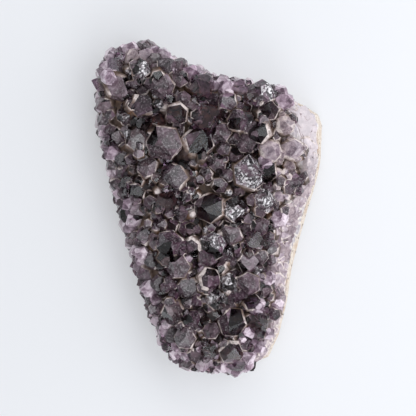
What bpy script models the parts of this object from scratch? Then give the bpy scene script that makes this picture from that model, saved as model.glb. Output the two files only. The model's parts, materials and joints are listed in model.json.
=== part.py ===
"""Amethyst cluster: a slab broken from the wall of a geode, lying with its crystals up.

Run it with: blender --background --python part.py
It is modelled in metres, +Z up, +Y along its length. The origin is on the surface that it
rests on, under the middle of its box. It has two pieces: the rind, the stony skin that lined
the rock, and the crystals, one crust of quartz grown together on that skin.
"""

import math
import random

import bmesh
import bpy
from mathutils import Matrix, Vector, noise
from mathutils.bvhtree import BVHTree

MM = 0.001

# The rind, and the crust of massive quartz that the points stand on
RIND_THICKNESS = 5.0 * MM
RIND_WAVE = 1.4 * MM  # how far the seam between rind and quartz wanders up and down
RIND_WAVELENGTH = 24.0 * MM
SEAM_CELL = 13.0 * MM
SEAM_CELLS = (12, 16)  # the seam is cut over this many cells in x and y
SEAM_GAP = 0.3 * MM  # keeps the two pieces from overlapping
CLEAR_OF_ALL = 60.0 * MM  # above every crystal, and as far below the rind
# Rings of the rind from the flat underside up: how far in, how high, and how rough
RIND_RINGS = ((5.5 * MM, 0.0, 0.0), (1.3 * MM, 1.7 * MM, 0.7 * MM), (0.0, 7.0 * MM, 0.0))
EDGE_WAVELENGTH = 7.0 * MM
BED_HEIGHT = 25.0 * MM  # the crust's upper side, where the points stand
BED_WAVE = 2.6 * MM
BED_WAVELENGTH = 31.0 * MM
EDGE_ROUGHNESS = 0.8 * MM
WAIST_INSET = 0.3  # how much of the wall's whole lean is reached at its middle height
CRUST_FOOT = 1.0 * MM  # where the crust is drawn from, before the seam cuts it
OVERHANG = 4.5 * MM  # how far the crystals reach out over the rind, where the wall is upright
OVERHANG_LOSS = 0.4  # how much less that is, as a share of how far the wall leans in

# Quartz points
FACE_ANGLE = math.radians(51.8)  # between a quartz point's end face and its cross-section
ROOT = 0.75  # how deep a point is rooted below its shoulder, as a share of its width
PRISM_TOP = 1.2  # how high a prism stands before its end faces are cut, in its widths
PRISM_TAPER = 0.94
SQUEEZE = (0.84, 1.0)  # a prism's narrower width to its wider one
CROWN = 1.15  # a point's width to that of the part of it that its neighbours leave clear
# Habits of a point's end: how many shapes there are of it, how many faces each has, and how
# high the first face is set, from and to, as a share of a regular point's height. A lower
# face is a broader one.
HABITS = {
    "broad": (3, 6, 0.55, 0.70),
    "even": (4, 6, 0.84, 0.94),
    "three": (4, 3, 0.74, 0.92),
}
FLANK_FACES = (0.86, 1.02)  # how high the other faces are set that belong with the first
LESSER_FACES = (1.0, 1.16)  # and the three smaller faces between them
BROAD_LEAN = math.radians(23)  # a point that leans more than this shows a broad face

# Each kind of random choice has its own seed
SEEDS = {"shapes": 17, "crust": 3, "main": 5, "fill": 8, "side": 13, "broken": 22}

# The outline, clockwise seen from above, from the upper left corner. Each row has x and y,
# how far the crust's wall leans in from there, and the height of the wall's top, all in mm.
OUTLINE = (
    (-50.2, 60.0, 4.5, 17.0),
    (-46.5, 67.8, 4.0, 17.0),
    (-38.5, 72.0, 3.5, 18.0),
    (-28.5, 74.3, 3.5, 18.0),
    (-20.0, 69.2, 3.5, 19.0),
    (-7.5, 64.2, 3.5, 19.0),
    (2.5, 59.2, 3.5, 19.0),
    (14.3, 57.2, 3.5, 20.0),
    (25.0, 54.5, 3.0, 21.0),
    (34.5, 51.8, 3.5, 22.0),
    (44.2, 46.5, 9.0, 23.0),
    (50.3, 41.8, 13.0, 23.0),
    (52.1, 36.7, 12.5, 23.0),
    (52.6, 22.0, 8.0, 23.0),
    (51.0, 12.6, 7.5, 23.0),
    (45.9, 0.0, 11.5, 23.0),
    (41.9, -14.0, 13.0, 22.0),
    (38.8, -28.2, 9.5, 22.0),
    (37.9, -42.5, 6.0, 21.0),
    (33.9, -58.6, 7.0, 20.0),
    (29.0, -69.4, 7.0, 19.0),
    (16.5, -74.6, 3.5, 18.0),
    (4.0, -74.9, 3.0, 17.0),
    (-9.5, -73.6, 3.0, 17.0),
    (-17.5, -67.5, 3.0, 16.0),
    (-23.1, -56.5, 3.5, 16.0),
    (-27.6, -46.0, 3.5, 15.0),
    (-31.7, -32.8, 3.5, 15.0),
    (-35.7, -19.3, 3.5, 15.0),
    (-39.7, -4.7, 3.5, 15.0),
    (-44.2, 10.4, 3.5, 15.0),
    (-47.2, 25.0, 3.5, 16.0),
    (-49.7, 38.0, 4.5, 16.0),
    (-50.7, 48.0, 4.5, 17.0),
)
SPINE = (Vector((-6.0, 38.0)) * MM, Vector((4.0, -48.0)) * MM)  # the walls lean towards it
# The bed's rings: how far in from the wall's top, and how much of the rise to the bed is done
BED_RINGS = ((8.0 * MM, 0.75), (17.0 * MM, 1.0))

# The points that show most. Each row has x and y of the point's middle, its width, the
# compass direction that it leans to (0 is +X, 90 is +Y), its lean from upright in degrees,
# and how far its shoulder stands above the bed, in mm.
MAIN_POINTS = (
    (-43.0, 54.0, 12.5, 315, 28, 3.0),
    (-30.0, 44.5, 11.0, 45, 34, 4.0),
    (-46.0, 65.0, 8.0, 130, 40, 1.5),
    (-34.5, 69.5, 8.5, 100, 36, 1.5),
    (-28.0, 70.0, 7.5, 75, 38, 1.5),
    (-30.5, 61.5, 9.0, 60, 12, 3.5),
    (-24.0, 66.0, 8.5, 80, 30, 2.0),
    (-18.0, 63.5, 9.0, 70, 28, 2.5),
    (-20.5, 54.5, 11.0, 270, 20, 3.5),
    (-12.5, 57.5, 7.5, 60, 12, 3.0),
    (-3.0, 53.5, 11.0, 60, 33, 3.5),
    (-6.0, 62.0, 8.0, 70, 35, 1.5),
    (-11.0, 48.0, 6.5, 100, 5, 2.0),
    (-37.5, 41.0, 8.0, 190, 12, 1.5),
    (-14.0, 42.0, 10.0, 300, 10, 3.0),
    (-1.5, 39.0, 12.0, 35, 24, 4.0),
    (-31.5, 29.0, 11.0, 100, 28, 3.5),
    (-19.0, 29.0, 15.0, 210, 12, 5.0),
    (-5.5, 27.0, 14.0, 65, 33, 4.5),
    (9.0, 54.5, 8.0, 100, 32, 1.5),
    (14.5, 54.0, 9.0, 85, 30, 1.5),
    (24.0, 51.5, 11.5, 60, 20, 3.0),
    (34.0, 47.5, 8.0, 20, 35, 1.5),
    (9.5, 46.0, 9.0, 140, 24, 3.0),
    (13.5, 38.0, 10.5, 30, 8, 4.0),
    (26.5, 43.0, 9.0, 340, 8, 3.0),
    (24.0, 34.0, 11.0, 200, 20, 4.0),
    (34.0, 36.5, 9.5, 0, 12, 3.0),
    (37.5, 25.5, 10.5, 0, 14, 3.0),
    (27.0, 25.5, 10.5, 330, 15, 4.0),
    (18.0, 28.5, 9.0, 200, 15, 3.0),
    (6.5, 33.5, 9.0, 200, 18, 3.0),
    (26.0, 16.5, 10.5, 250, 18, 3.5),
    (17.5, 14.5, 15.0, 20, 25, 5.0),
    (38.0, 11.0, 10.0, 0, 42, 1.5),
    (-26.5, 17.5, 10.0, 160, 15, 2.5),
    (-13.5, 14.0, 12.0, 200, 26, 4.0),
    (-33.5, 6.5, 8.5, 230, 18, 2.5),
    (-19.5, 1.0, 9.5, 45, 18, 3.0),
    (2.0, -0.5, 13.0, 180, 20, 5.0),
    (11.5, -1.0, 11.0, 0, 10, 3.5),
    (24.5, 2.5, 10.5, 0, 20, 4.0),
    (23.5, -9.0, 8.0, 10, 15, 2.5),
    (-17.5, -17.0, 12.5, 30, 8, 4.5),
    (-6.5, -17.5, 10.0, 230, 20, 2.5),
    (2.0, -18.5, 12.5, 60, 10, 4.5),
    (10.5, -12.5, 11.0, 250, 15, 2.5),
    (22.5, -15.0, 10.0, 210, 20, 3.0),
    (19.0, -23.5, 11.0, 270, 25, 3.5),
    (-12.5, -27.5, 10.5, 150, 20, 4.0),
    (-1.0, -33.0, 11.0, 20, 15, 5.5),
    (-9.0, -35.0, 10.0, 270, 30, 3.0),
    (8.5, -34.0, 9.0, 0, 10, 3.0),
    (18.5, -33.5, 10.5, 240, 18, 4.0),
    (19.0, -43.0, 8.0, 20, 12, 3.0),
    (2.5, -42.0, 9.5, 40, 15, 3.5),
    (-17.0, -47.5, 11.0, 260, 20, 3.5),
    (-25.0, -48.0, 7.5, 190, 42, 1.5),
    (-8.0, -51.0, 10.0, 320, 10, 2.5),
    (1.5, -56.0, 7.5, 90, 5, 4.0),
    (-10.0, -58.5, 10.5, 220, 12, 3.0),
    (-20.0, -59.5, 9.0, 215, 38, 1.5),
    (11.0, -51.0, 12.5, 250, 12, 4.0),
    (22.0, -51.5, 8.0, 330, 15, 3.5),
    (9.5, -66.0, 11.0, 320, 20, 3.0),
    (0.5, -65.5, 8.0, 270, 15, 3.0),
    (-6.0, -69.0, 8.0, 260, 38, 1.5),
    (-42.5, 20.0, 8.0, 175, 38, 1.0),
    (-40.0, 9.0, 8.5, 195, 40, 1.0),
    (-36.0, -3.0, 8.0, 195, 36, 1.0),
    (-32.5, -14.0, 8.5, 190, 38, 1.0),
    (-29.0, -25.5, 8.0, 200, 38, 1.0),
    (-26.0, -36.0, 8.5, 195, 36, 1.0),
    (-44.5, 31.0, 8.0, 185, 36, 1.0),
    (4.5, 19.5, 8.0, 120, 12, 2.0),
)

# Smaller points fill the bed between the main ones.
FILL_WIDTHS = (6.4 * MM, 8.8 * MM)
FILL_RISE = (0.2 * MM, 2.0 * MM)
FILL_LEAN = math.radians(24)
FILL_COUNT = 60
CROWDING = 0.35  # closest that two middles may be, as a share of the two widths
TRIES = 4000

# More points look outwards from the walls that aren't broken.
SIDE_WIDTHS = (7.5 * MM, 10.5 * MM)
SIDE_HEIGHTS = (3.0 * MM, 11.5 * MM)  # above the seam
SIDE_LEANS = (math.radians(78), math.radians(54))  # from upright, at those heights
SIDE_COUNT = 38
SIDE_DEPTH = (-1.1 * MM, 0.1, 0.42)  # how deep they stand: a base, and shares of height and width
SIDE_SWING = 0.45  # how far a point may look to one side, in radians
SIDE_TIP = 0.16  # how far its lean may differ
SIDE_TWIST = 0.5  # and how far it may be turned about its own axis
CLAD_INSET = 4.6 * MM  # a wall that leans in less than this is clad with points

# Prisms laid bare where the slab broke, each with one flat end along the wall's upper half
BROKEN_WIDTHS = (7.0 * MM, 13.0 * MM)
BROKEN_TILTS = (44.0, 52.0, 60.0, 67.0)  # how far each shape's end tips outwards, in degrees
BROKEN_TILT_SPREAD = 4.0  # how far an end may tip more or less than the wall, in degrees
BROKEN_SWING = 0.35  # how far an end may face to one side, in radians
BROKEN_ROOT = 1.8  # how deep these are rooted below their ends, in widths
BROKEN_CREST = 0.2  # how high the slope of the back crosses a prism's axis, in widths
BROKEN_BACK = math.radians(35)  # how far that slope tips back
BROKEN_COUNT = 24
BROKEN_CROWDING = 0.32
BROKEN_PROUD = 0.9 * MM  # how far an end's middle stands over the wall
BROKEN_LEDGE = 2.0 * MM  # what stays free of prisms outside them, seen from above


def clear_scene():
    for old in list(bpy.data.objects):
        bpy.data.objects.remove(old)


def moved_in(point, distance):
    """The outline point moved in towards the spine."""
    start, end = SPINE
    along = (point - start).dot(end - start) / (end - start).length_squared
    inward = start.lerp(end, min(1.0, max(0.0, along))) - point
    return point + inward.normalized() * min(distance, 0.9 * inward.length)


def skirt(row):
    """Where the foot of the wall stands at an outline point."""
    return moved_in(row.xy, max(0.0, OVERHANG - OVERHANG_LOSS * row.z))


def wave(x, y, size, wavelength):
    return size * noise.noise(Vector((x / wavelength, y / wavelength, 0.5)))


def seam_height(x, y):
    return RIND_THICKNESS + wave(x, y, RIND_WAVE, RIND_WAVELENGTH)


def mesh_from_rings(rings):
    """A closed mesh through the rings, the first and last filled."""
    made = bmesh.new()
    loops = [[made.verts.new(p) for p in ring] for ring in rings]
    for lower, upper in zip(loops, loops[1:]):
        for i in range(len(lower)):
            j = (i + 1) % len(lower)
            made.faces.new((lower[i], lower[j], upper[j], upper[i]))
    made.faces.new(loops[0])
    made.faces.new(loops[-1])
    bmesh.ops.triangulate(made, faces=made.faces)
    bmesh.ops.recalc_face_normals(made, faces=made.faces)
    return made


def seam_block(lift, reach):
    """A block with one wavy side on the seam, raised by lift. It ends at the height reach."""
    made = bmesh.new()
    cells_x, cells_y = SEAM_CELLS
    bmesh.ops.create_grid(made, x_segments=cells_x, y_segments=cells_y, size=0.5)
    for vert in made.verts:
        x, y = vert.co.x * cells_x * SEAM_CELL, vert.co.y * cells_y * SEAM_CELL
        vert.co = (x, y, seam_height(x, y) + lift)
    bmesh.ops.triangulate(made, faces=made.faces)
    wavy = made.verts[:]
    rim = [edge for edge in made.edges if edge.is_boundary]
    walls = bmesh.ops.extrude_edge_only(made, edges=rim)["geom"]
    for vert in walls:
        if isinstance(vert, bmesh.types.BMVert):
            vert.co.z = reach
    flat_rim = [edge for edge in made.edges if edge.is_boundary and edge.verts[0] not in wavy]
    bmesh.ops.contextual_create(made, geom=flat_rim)
    bmesh.ops.recalc_face_normals(made, faces=made.faces)
    return made


def rind_mesh(outline):
    """The stony skin before its seam is cut: a flat to rest on and a rough rounded edge."""
    rings = []
    for inset, height, rough in RIND_RINGS:
        ring = []
        for p in outline:
            q = moved_in(skirt(p), inset)
            ring.append(Vector((q.x, q.y, height + wave(q.x, q.y, rough, EDGE_WAVELENGTH))))
        rings.append(ring)
    return mesh_from_rings(rings)


def waist_height(row):
    """How high the wall's middle is at an outline point."""
    return 0.5 * (RIND_THICKNESS + row.w)


def crust_mesh(outline, rng):
    """The massive quartz before its seam is cut: walls that lean in, and the bed on top."""
    rings = [[Vector((*skirt(p), CRUST_FOOT)) for p in outline]]
    ring = []
    for p in outline:
        rough = rng.uniform(-EDGE_ROUGHNESS, EDGE_ROUGHNESS)
        q = skirt(p).lerp(moved_in(p.xy, p.z), WAIST_INSET)
        ring.append(Vector((*moved_in(q, rough), waist_height(p))))
    rings.append(ring)
    rings.append([Vector((*moved_in(p.xy, p.z), p.w)) for p in outline])
    for inset, share in BED_RINGS:
        ring = []
        for p in outline:
            q = moved_in(p.xy, p.z + inset)
            bed = BED_HEIGHT + wave(q.x, q.y, BED_WAVE, BED_WAVELENGTH)
            ring.append(Vector((q.x, q.y, p.w + share * (bed - p.w))))
        rings.append(ring)
    return mesh_from_rings(rings)


def tilted(angle, tilt):
    """A unit vector that leans from +Z by tilt, towards the direction angle."""
    return Vector(
        (math.sin(tilt) * math.cos(angle), math.sin(tilt) * math.sin(angle), math.cos(tilt))
    )


def cut_off(made, point, normal):
    """Cuts away what lies beyond a plane, and closes the cut with one face."""
    parts = made.verts[:] + made.edges[:] + made.faces[:]
    cut = bmesh.ops.bisect_plane(
        made, geom=parts, plane_co=point, plane_no=normal, dist=1e-5, clear_outer=True
    )
    rim = [e for e in cut["geom_cut"] if isinstance(e, bmesh.types.BMEdge)]
    if len(rim) > 2:
        bmesh.ops.contextual_create(made, geom=rim)


def unit_prism(root, rng):
    """A six-sided quartz prism one unit wide, not quite regular, from its root up past z = 1."""
    made = bmesh.new()
    bmesh.ops.create_cone(
        made,
        cap_ends=True,
        segments=6,
        radius1=0.5,
        radius2=0.5 * PRISM_TAPER,
        depth=root + PRISM_TOP,
        matrix=Matrix.Translation((0, 0, (PRISM_TOP - root) / 2)),
    )
    across = tilted(rng.uniform(0, math.tau), math.pi / 2)
    squeeze = Matrix.Scale(rng.uniform(*SQUEEZE), 4, across)
    bmesh.ops.transform(made, matrix=squeeze, verts=made.verts)
    return made


def point_shape(faces, lowest, highest, rng):
    """A unit quartz point with its shoulder at z = 0 and its first end face towards +X."""
    made = unit_prism(ROOT, rng)
    tip = 0.5 * math.cos(math.pi / 6) * math.tan(FACE_ANGLE)
    for face in range(faces):
        if face == 0:
            share = rng.uniform(lowest, highest)
        elif faces == 6 and face % 2 == 1:
            share = rng.uniform(*LESSER_FACES)
        else:
            share = rng.uniform(*FLANK_FACES)
        cut_off(made, Vector((0, 0, tip * share)), tilted(math.tau * face / faces, FACE_ANGLE))
    return made


def broken_shape(tilt, rng):
    """A unit prism snapped off at z = 0, its flat end tipped towards +X, and its back sloped."""
    made = unit_prism(BROKEN_ROOT, rng)
    facing = rng.uniform(-BROKEN_SWING, BROKEN_SWING)
    cut_off(made, Vector((0, 0, 0)), tilted(facing, math.radians(tilt)))
    cut_off(made, Vector((0, 0, BROKEN_CREST)), tilted(facing + math.pi, BROKEN_BACK))
    return made


def crystal_shapes(rng):
    """The shapes that every crystal is a copy of, by habit."""
    shapes = {}
    for habit, (count, faces, lowest, highest) in HABITS.items():
        shapes[habit] = [point_shape(faces, lowest, highest, rng) for _ in range(count)]
    shapes["broken"] = [broken_shape(tilt, rng) for tilt in BROKEN_TILTS]
    return shapes


class Crystal:
    """Where one crystal stands: its shoulder's middle, its width, its lean and its shape."""

    def __init__(self, foot, width, lean_to, lean, shape, twist):
        self.foot = foot
        self.width = width
        self.shape = shape
        turn = Matrix.Rotation(lean, 4, tilted(lean_to + math.pi / 2, math.pi / 2))
        spin = Matrix.Rotation(twist, 4, "Z")
        self.matrix = Matrix.Translation(foot) @ turn @ spin @ Matrix.Scale(width, 4)


def main_crystals(shapes, bed, rng):
    found = []
    for x, y, width, compass, degrees, rise in MAIN_POINTS:
        lean_to, lean = math.radians(compass), math.radians(degrees)
        ground = bed.find_nearest(Vector((x * MM, y * MM, BED_HEIGHT)))[0]
        foot = ground + tilted(lean_to, lean) * rise * MM
        twist = lean_to + math.pi + rng.uniform(-0.25, 0.25)
        shape = rng.choice(shapes["broad" if lean > BROAD_LEAN else "even"])
        found.append(Crystal(foot, CROWN * width * MM, lean_to, lean, shape, twist))
    return found


def has_room(foot, width, others, crowding):
    return all((foot - c.foot).length > crowding * (width + c.width) for c in others)


def fill_crystals(shapes, bed, grown, rng):
    """Throws smaller points at the bed, and keeps those that find room."""
    reach = [max(abs(row[axis]) for row in OUTLINE) * MM for axis in (0, 1)]
    found = []
    for _ in range(TRIES):
        x, y = (rng.uniform(-limit, limit) for limit in reach)
        width, rise = rng.uniform(*FILL_WIDTHS), rng.uniform(*FILL_RISE)
        lean_to, lean = rng.uniform(0, math.tau), FILL_LEAN * math.sqrt(rng.random())
        ground, normal = bed.ray_cast(Vector((x, y, 1.0)), Vector((0, 0, -1)))[:2]
        if ground is None or normal.z < 0.8:
            continue
        foot = ground + tilted(lean_to, lean) * rise
        if not has_room(foot, width, grown + found, CROWDING):
            continue
        shape, twist = rng.choice(shapes["three"]), rng.uniform(0, math.tau)
        found.append(Crystal(foot, width, lean_to, lean, shape, twist))
        if len(found) == FILL_COUNT:
            break
    return found


def outline_place(outline, rng):
    """A random place on the outline, and the direction that looks straight out from there."""
    i = rng.randrange(len(outline))
    here, there = outline[i], outline[(i + 1) % len(outline)]
    side = (there - here).xy
    return here.lerp(there, rng.random()), math.atan2(side.x, -side.y)


def side_crystals(shapes, outline, grown, rng):
    """Points that look outwards, on the walls that aren't broken."""
    found = []
    for _ in range(TRIES):
        place, outward = outline_place(outline, rng)
        up, width = rng.random(), rng.uniform(*SIDE_WIDTHS)
        swing, tip = rng.uniform(-SIDE_SWING, SIDE_SWING), rng.uniform(-SIDE_TIP, SIDE_TIP)
        height = SIDE_HEIGHTS[0] + up * (SIDE_HEIGHTS[1] - SIDE_HEIGHTS[0])
        lean = SIDE_LEANS[0] + up * (SIDE_LEANS[1] - SIDE_LEANS[0]) + tip
        base, of_height, of_width = SIDE_DEPTH
        inward = base + of_height * height + of_width * width
        foot = Vector((*moved_in(place.xy, inward), RIND_THICKNESS + height))
        if place.z > CLAD_INSET or not has_room(foot, width, grown + found, CROWDING):
            continue
        lean_to = outward + swing
        shape = rng.choice(shapes["three"])
        twist = lean_to + math.pi + rng.uniform(-SIDE_TWIST, SIDE_TWIST)
        found.append(Crystal(foot, width, lean_to, lean, shape, twist))
        if len(found) == SIDE_COUNT:
            break
    return found


def broken_crystals(shapes, outline, rng):
    """Snapped prisms on the broken walls."""
    found = []
    for _ in range(TRIES):
        place, outward = outline_place(outline, rng)
        up, width = rng.random(), rng.uniform(*BROKEN_WIDTHS)
        swing = rng.uniform(-BROKEN_SWING, BROKEN_SWING)
        extra = rng.uniform(-BROKEN_TILT_SPREAD, BROKEN_TILT_SPREAD)
        waist, waist_in = waist_height(place), WAIST_INSET * place.z
        slope = math.degrees(math.atan2(place.w - waist, place.z - waist_in)) + extra
        nearest = min(range(len(BROKEN_TILTS)), key=lambda i: abs(BROKEN_TILTS[i] - slope))
        inward = waist_in + up * (place.z - waist_in)
        height = waist + up * (place.w - waist) + BROKEN_PROUD
        foot = Vector((*moved_in(place.xy, inward), height))
        if place.z <= CLAD_INSET or inward < BROKEN_LEDGE + width / 2:
            continue
        if not has_room(foot, width, found, BROKEN_CROWDING):
            continue
        shape, twist = shapes["broken"][nearest], outward + swing
        found.append(Crystal(foot, width, 0.0, 0.0, shape, twist))
        if len(found) == BROKEN_COUNT:
            break
    return found


def object_from(made, name, collection):
    mesh = bpy.data.meshes.new(name)
    made.to_mesh(mesh)
    piece = bpy.data.objects.new(name, mesh)
    collection.objects.link(piece)
    return piece


def joined_or_cut(piece, helpers, operation):
    """Joins the helpers to the piece, or cuts them from it, and removes them."""
    change = piece.modifiers.new(operation, "BOOLEAN")
    change.operation = operation
    change.operand_type = "COLLECTION"
    change.collection = helpers
    graph = bpy.context.evaluated_depsgraph_get()
    made = bpy.data.meshes.new_from_object(piece.evaluated_get(graph))
    piece.modifiers.clear()
    piece.data = made
    for helper in list(helpers.objects):
        bpy.data.objects.remove(helper)


def drop_sealed_voids(piece):
    """Keeps the piece's largest shell, so that no void stays sealed between the roots."""
    made = bmesh.new()
    made.from_mesh(piece.data)
    unseen, shells = set(made.verts), []
    while unseen:
        shell, frontier = set(), [next(iter(unseen))]
        while frontier:
            vert = frontier.pop()
            if vert in unseen:
                unseen.remove(vert)
                shell.add(vert)
                frontier += [edge.other_vert(vert) for edge in vert.link_edges]
        shells.append(shell)
    outer = max(shells, key=len)
    spare = [vert for vert in made.verts if vert not in outer]
    bmesh.ops.delete(made, geom=spare, context="VERTS")
    made.to_mesh(piece.data)
    made.free()


def finish_of(name, colour, roughness):
    material = bpy.data.materials.new(name)
    material.use_nodes = True
    shader = material.node_tree.nodes["Principled BSDF"]
    shader.inputs["Base Color"].default_value = (*colour, 1.0)
    shader.inputs["Roughness"].default_value = roughness
    shader.inputs["Metallic"].default_value = 0.0
    return material


def main():
    clear_scene()
    scene = bpy.context.scene.collection
    helpers = bpy.data.collections.new("helpers")
    scene.children.link(helpers)
    rngs = {stage: random.Random(seed) for stage, seed in SEEDS.items()}
    outline = [Vector(row) * MM for row in OUTLINE]
    shapes = crystal_shapes(rngs["shapes"])

    rind = object_from(rind_mesh(outline), "rind", scene)
    object_from(seam_block(0.0, CLEAR_OF_ALL), "above_seam", helpers)
    joined_or_cut(rind, helpers, "DIFFERENCE")
    rind.data.materials.append(finish_of("rind stone", (0.62, 0.52, 0.40), 0.9))

    crust = crust_mesh(outline, rngs["crust"])
    bed = BVHTree.FromBMesh(crust)
    grown = main_crystals(shapes, bed, rngs["main"])
    grown += fill_crystals(shapes, bed, grown, rngs["fill"])
    grown += side_crystals(shapes, outline, grown, rngs["side"])
    grown += broken_crystals(shapes, outline, rngs["broken"])

    crystals = object_from(crust, "crystals", scene)
    for crystal in grown:
        copy = object_from(crystal.shape, "crystal", helpers)
        copy.matrix_world = crystal.matrix
    joined_or_cut(crystals, helpers, "UNION")
    object_from(seam_block(SEAM_GAP, -CLEAR_OF_ALL), "below_seam", helpers)
    joined_or_cut(crystals, helpers, "DIFFERENCE")
    drop_sealed_voids(crystals)
    crystals.data.materials.clear()
    crystals.data.materials.append(finish_of("amethyst", (0.16, 0.10, 0.18), 0.12))
    bpy.data.collections.remove(helpers)


main()
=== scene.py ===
# %% [markdown]
# # An amethyst cluster
# Quartz lined a hollow in old lava, from the rock inwards, until its walls bristled with points.
# This slab was broken from such a wall. It lies on the stony rind that touched the rock, with
# its points up: dark smoky purple inside, with a thin pale coat round the shoulders. On its
# right side the slab snapped, and there the columns under the points show in section.
#
# The packed solids come first. Everything below is built round them, in metres, in their frame.

# %% The packed solids
import json
import math
import random

import bmesh
import bpy
from mathutils import Matrix, Vector, noise
from mathutils.bvhtree import BVHTree

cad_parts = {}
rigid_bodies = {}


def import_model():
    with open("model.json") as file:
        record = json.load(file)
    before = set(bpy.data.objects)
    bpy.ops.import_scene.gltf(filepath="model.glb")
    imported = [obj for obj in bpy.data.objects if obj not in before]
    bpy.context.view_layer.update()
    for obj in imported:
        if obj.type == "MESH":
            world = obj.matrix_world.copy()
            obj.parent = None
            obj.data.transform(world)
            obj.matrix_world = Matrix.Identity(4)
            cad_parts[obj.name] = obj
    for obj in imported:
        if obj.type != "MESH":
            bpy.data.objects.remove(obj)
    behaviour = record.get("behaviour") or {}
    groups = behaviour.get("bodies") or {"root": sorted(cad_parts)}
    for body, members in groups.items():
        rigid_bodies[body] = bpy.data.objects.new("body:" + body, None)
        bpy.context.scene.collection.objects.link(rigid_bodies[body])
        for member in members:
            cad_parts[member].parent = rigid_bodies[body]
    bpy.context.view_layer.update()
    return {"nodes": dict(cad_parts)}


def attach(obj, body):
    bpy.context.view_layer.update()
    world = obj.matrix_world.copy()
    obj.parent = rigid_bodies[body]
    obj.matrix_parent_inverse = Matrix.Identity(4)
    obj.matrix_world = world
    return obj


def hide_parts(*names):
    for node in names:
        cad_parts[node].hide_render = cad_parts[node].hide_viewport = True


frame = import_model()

MM = 0.001
print("nodes", sorted(frame["nodes"]))

# %% [markdown]
# The picture looks straight down through a long lens. A long lens far away keeps the sides of
# the points from fanning out, so the picture's frame can be measured like a map.

# %% The camera
VIEW_WIDTH = 186.4 * MM  # what the picture spans at the height of the points
VIEW_MIDDLE = Vector((0.0, -0.6, 24.0)) * MM
VIEW_DISTANCE = 1.35

lens = bpy.data.cameras.new("long_lens")
lens.sensor_width = 36.0
lens.lens = lens.sensor_width * VIEW_DISTANCE / VIEW_WIDTH
lens.clip_start = 0.05
lens.clip_end = 20.0
eye = bpy.data.objects.new("eye", lens)
eye.location = VIEW_MIDDLE + Vector((0.0, 0.0, VIEW_DISTANCE))
bpy.context.scene.collection.objects.link(eye)
bpy.context.scene.camera = eye
print("focal length in mm", round(lens.lens))

# %% [markdown]
# A pale sheet of paper lies under it, on a light table that makes it glow a little, so shadows
# stay faint. About two fifths of the light comes from all round, as in a white tent. The rest
# comes from soft round panels, the nearest on the right. What a facet shows is a reflection four
# hundredths as bright as what it faces, so the panels make some facets shine and leave others
# dark. Small panels would give harder, brighter glints than the real facets have.

# %% The tent, the panels and the paper
TENT_COLOUR = (0.95, 0.97, 1.0)
TENT_STRENGTH = 0.56
PANELS = (
    # place in metres, width and power
    ((0.40, 0.08, 0.35), 0.72, 2.0),
    ((-0.35, -0.60, 0.50), 0.70, 0.6),
    ((0.05, 0.70, 0.50), 0.60, 2.1),
    ((0.25, -0.62, 0.50), 0.60, 2.5),
)
PAPER_COLOUR = (0.50, 0.505, 0.52)
PAPER_GLOW = 0.30
PAPER_WIDTH = 6.0

tent = bpy.data.worlds.new("tent")
tent.use_nodes = True
tent_light = tent.node_tree.nodes["Background"]
tent_light.inputs["Color"].default_value = (*TENT_COLOUR, 1.0)
tent_light.inputs["Strength"].default_value = TENT_STRENGTH
bpy.context.scene.world = tent
bpy.context.scene.view_settings.view_transform = "Standard"

for place, width, power in PANELS:
    panel = bpy.data.lights.new("panel", "AREA")
    panel.shape = "DISK"
    panel.size = width
    panel.energy = power
    panel.color = TENT_COLOUR
    stand = bpy.data.objects.new("panel", panel)
    stand.location = place
    stand.rotation_euler = Vector(place).to_track_quat("Z", "Y").to_euler()
    bpy.context.scene.collection.objects.link(stand)

paper_mesh = bpy.data.meshes.new("paper")
half = PAPER_WIDTH / 2
corners = [(-half, -half, 0), (half, -half, 0), (half, half, 0), (-half, half, 0)]
paper_mesh.from_pydata(corners, [], [(0, 1, 2, 3)])
paper = bpy.data.objects.new("paper", paper_mesh)
bpy.context.scene.collection.objects.link(paper)
paper_finish = bpy.data.materials.new("paper")
paper_finish.use_nodes = True
paper_shader = paper_finish.node_tree.nodes["Principled BSDF"]
paper_shader.inputs["Base Color"].default_value = (*PAPER_COLOUR, 1.0)
paper_shader.inputs["Roughness"].default_value = 0.9
paper_shader.inputs["Specular IOR Level"].default_value = 0.1
paper_shader.inputs["Emission Color"].default_value = (*TENT_COLOUR, 1.0)
paper_shader.inputs["Emission Strength"].default_value = PAPER_GLOW
paper_mesh.materials.append(paper_finish)
print("paper", PAPER_WIDTH, "m wide,", len(PANELS), "panels")

# %% [markdown]
# The slab's plan, its bed and the places of its points are the same as in the solids, so that
# each visible point stands where its solid does. These are lists of plain sizes in
# millimetres, and the seeds give the same throws.

# %% Sizes shared with the solids
RIND_THICKNESS = 5.0 * MM
EDGE_WAVELENGTH = 7.0 * MM
BED_HEIGHT = 25.0 * MM
BED_WAVE = 2.6 * MM
BED_WAVELENGTH = 31.0 * MM
EDGE_ROUGHNESS = 0.8 * MM
WAIST_INSET = 0.3
CRUST_FOOT = 1.0 * MM
OVERHANG = 4.5 * MM
OVERHANG_LOSS = 0.4
FACE_ANGLE = math.radians(51.8)
ROOT = 0.75
PRISM_TOP = 1.2
PRISM_TAPER = 0.94
SQUEEZE = (0.84, 1.0)
CROWN = 1.15
MAIN_TWIST = 0.25
FLAT_BED = 0.8
HABITS = {
    "broad": (3, 6, 0.55, 0.70),
    "even": (4, 6, 0.84, 0.94),
    "three": (4, 3, 0.74, 0.92),
}
FLANK_FACES = (0.86, 1.02)
LESSER_FACES = (1.0, 1.16)
BROAD_LEAN = math.radians(23)
SEEDS = {"shapes": 17, "crust": 3, "main": 5, "fill": 8, "side": 13, "broken": 22}
FILL_WIDTHS = (6.4 * MM, 8.8 * MM)
FILL_RISE = (0.2 * MM, 2.0 * MM)
FILL_LEAN = math.radians(24)
FILL_COUNT = 60
CROWDING = 0.35
TRIES = 4000
SIDE_WIDTHS = (7.5 * MM, 10.5 * MM)
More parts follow.
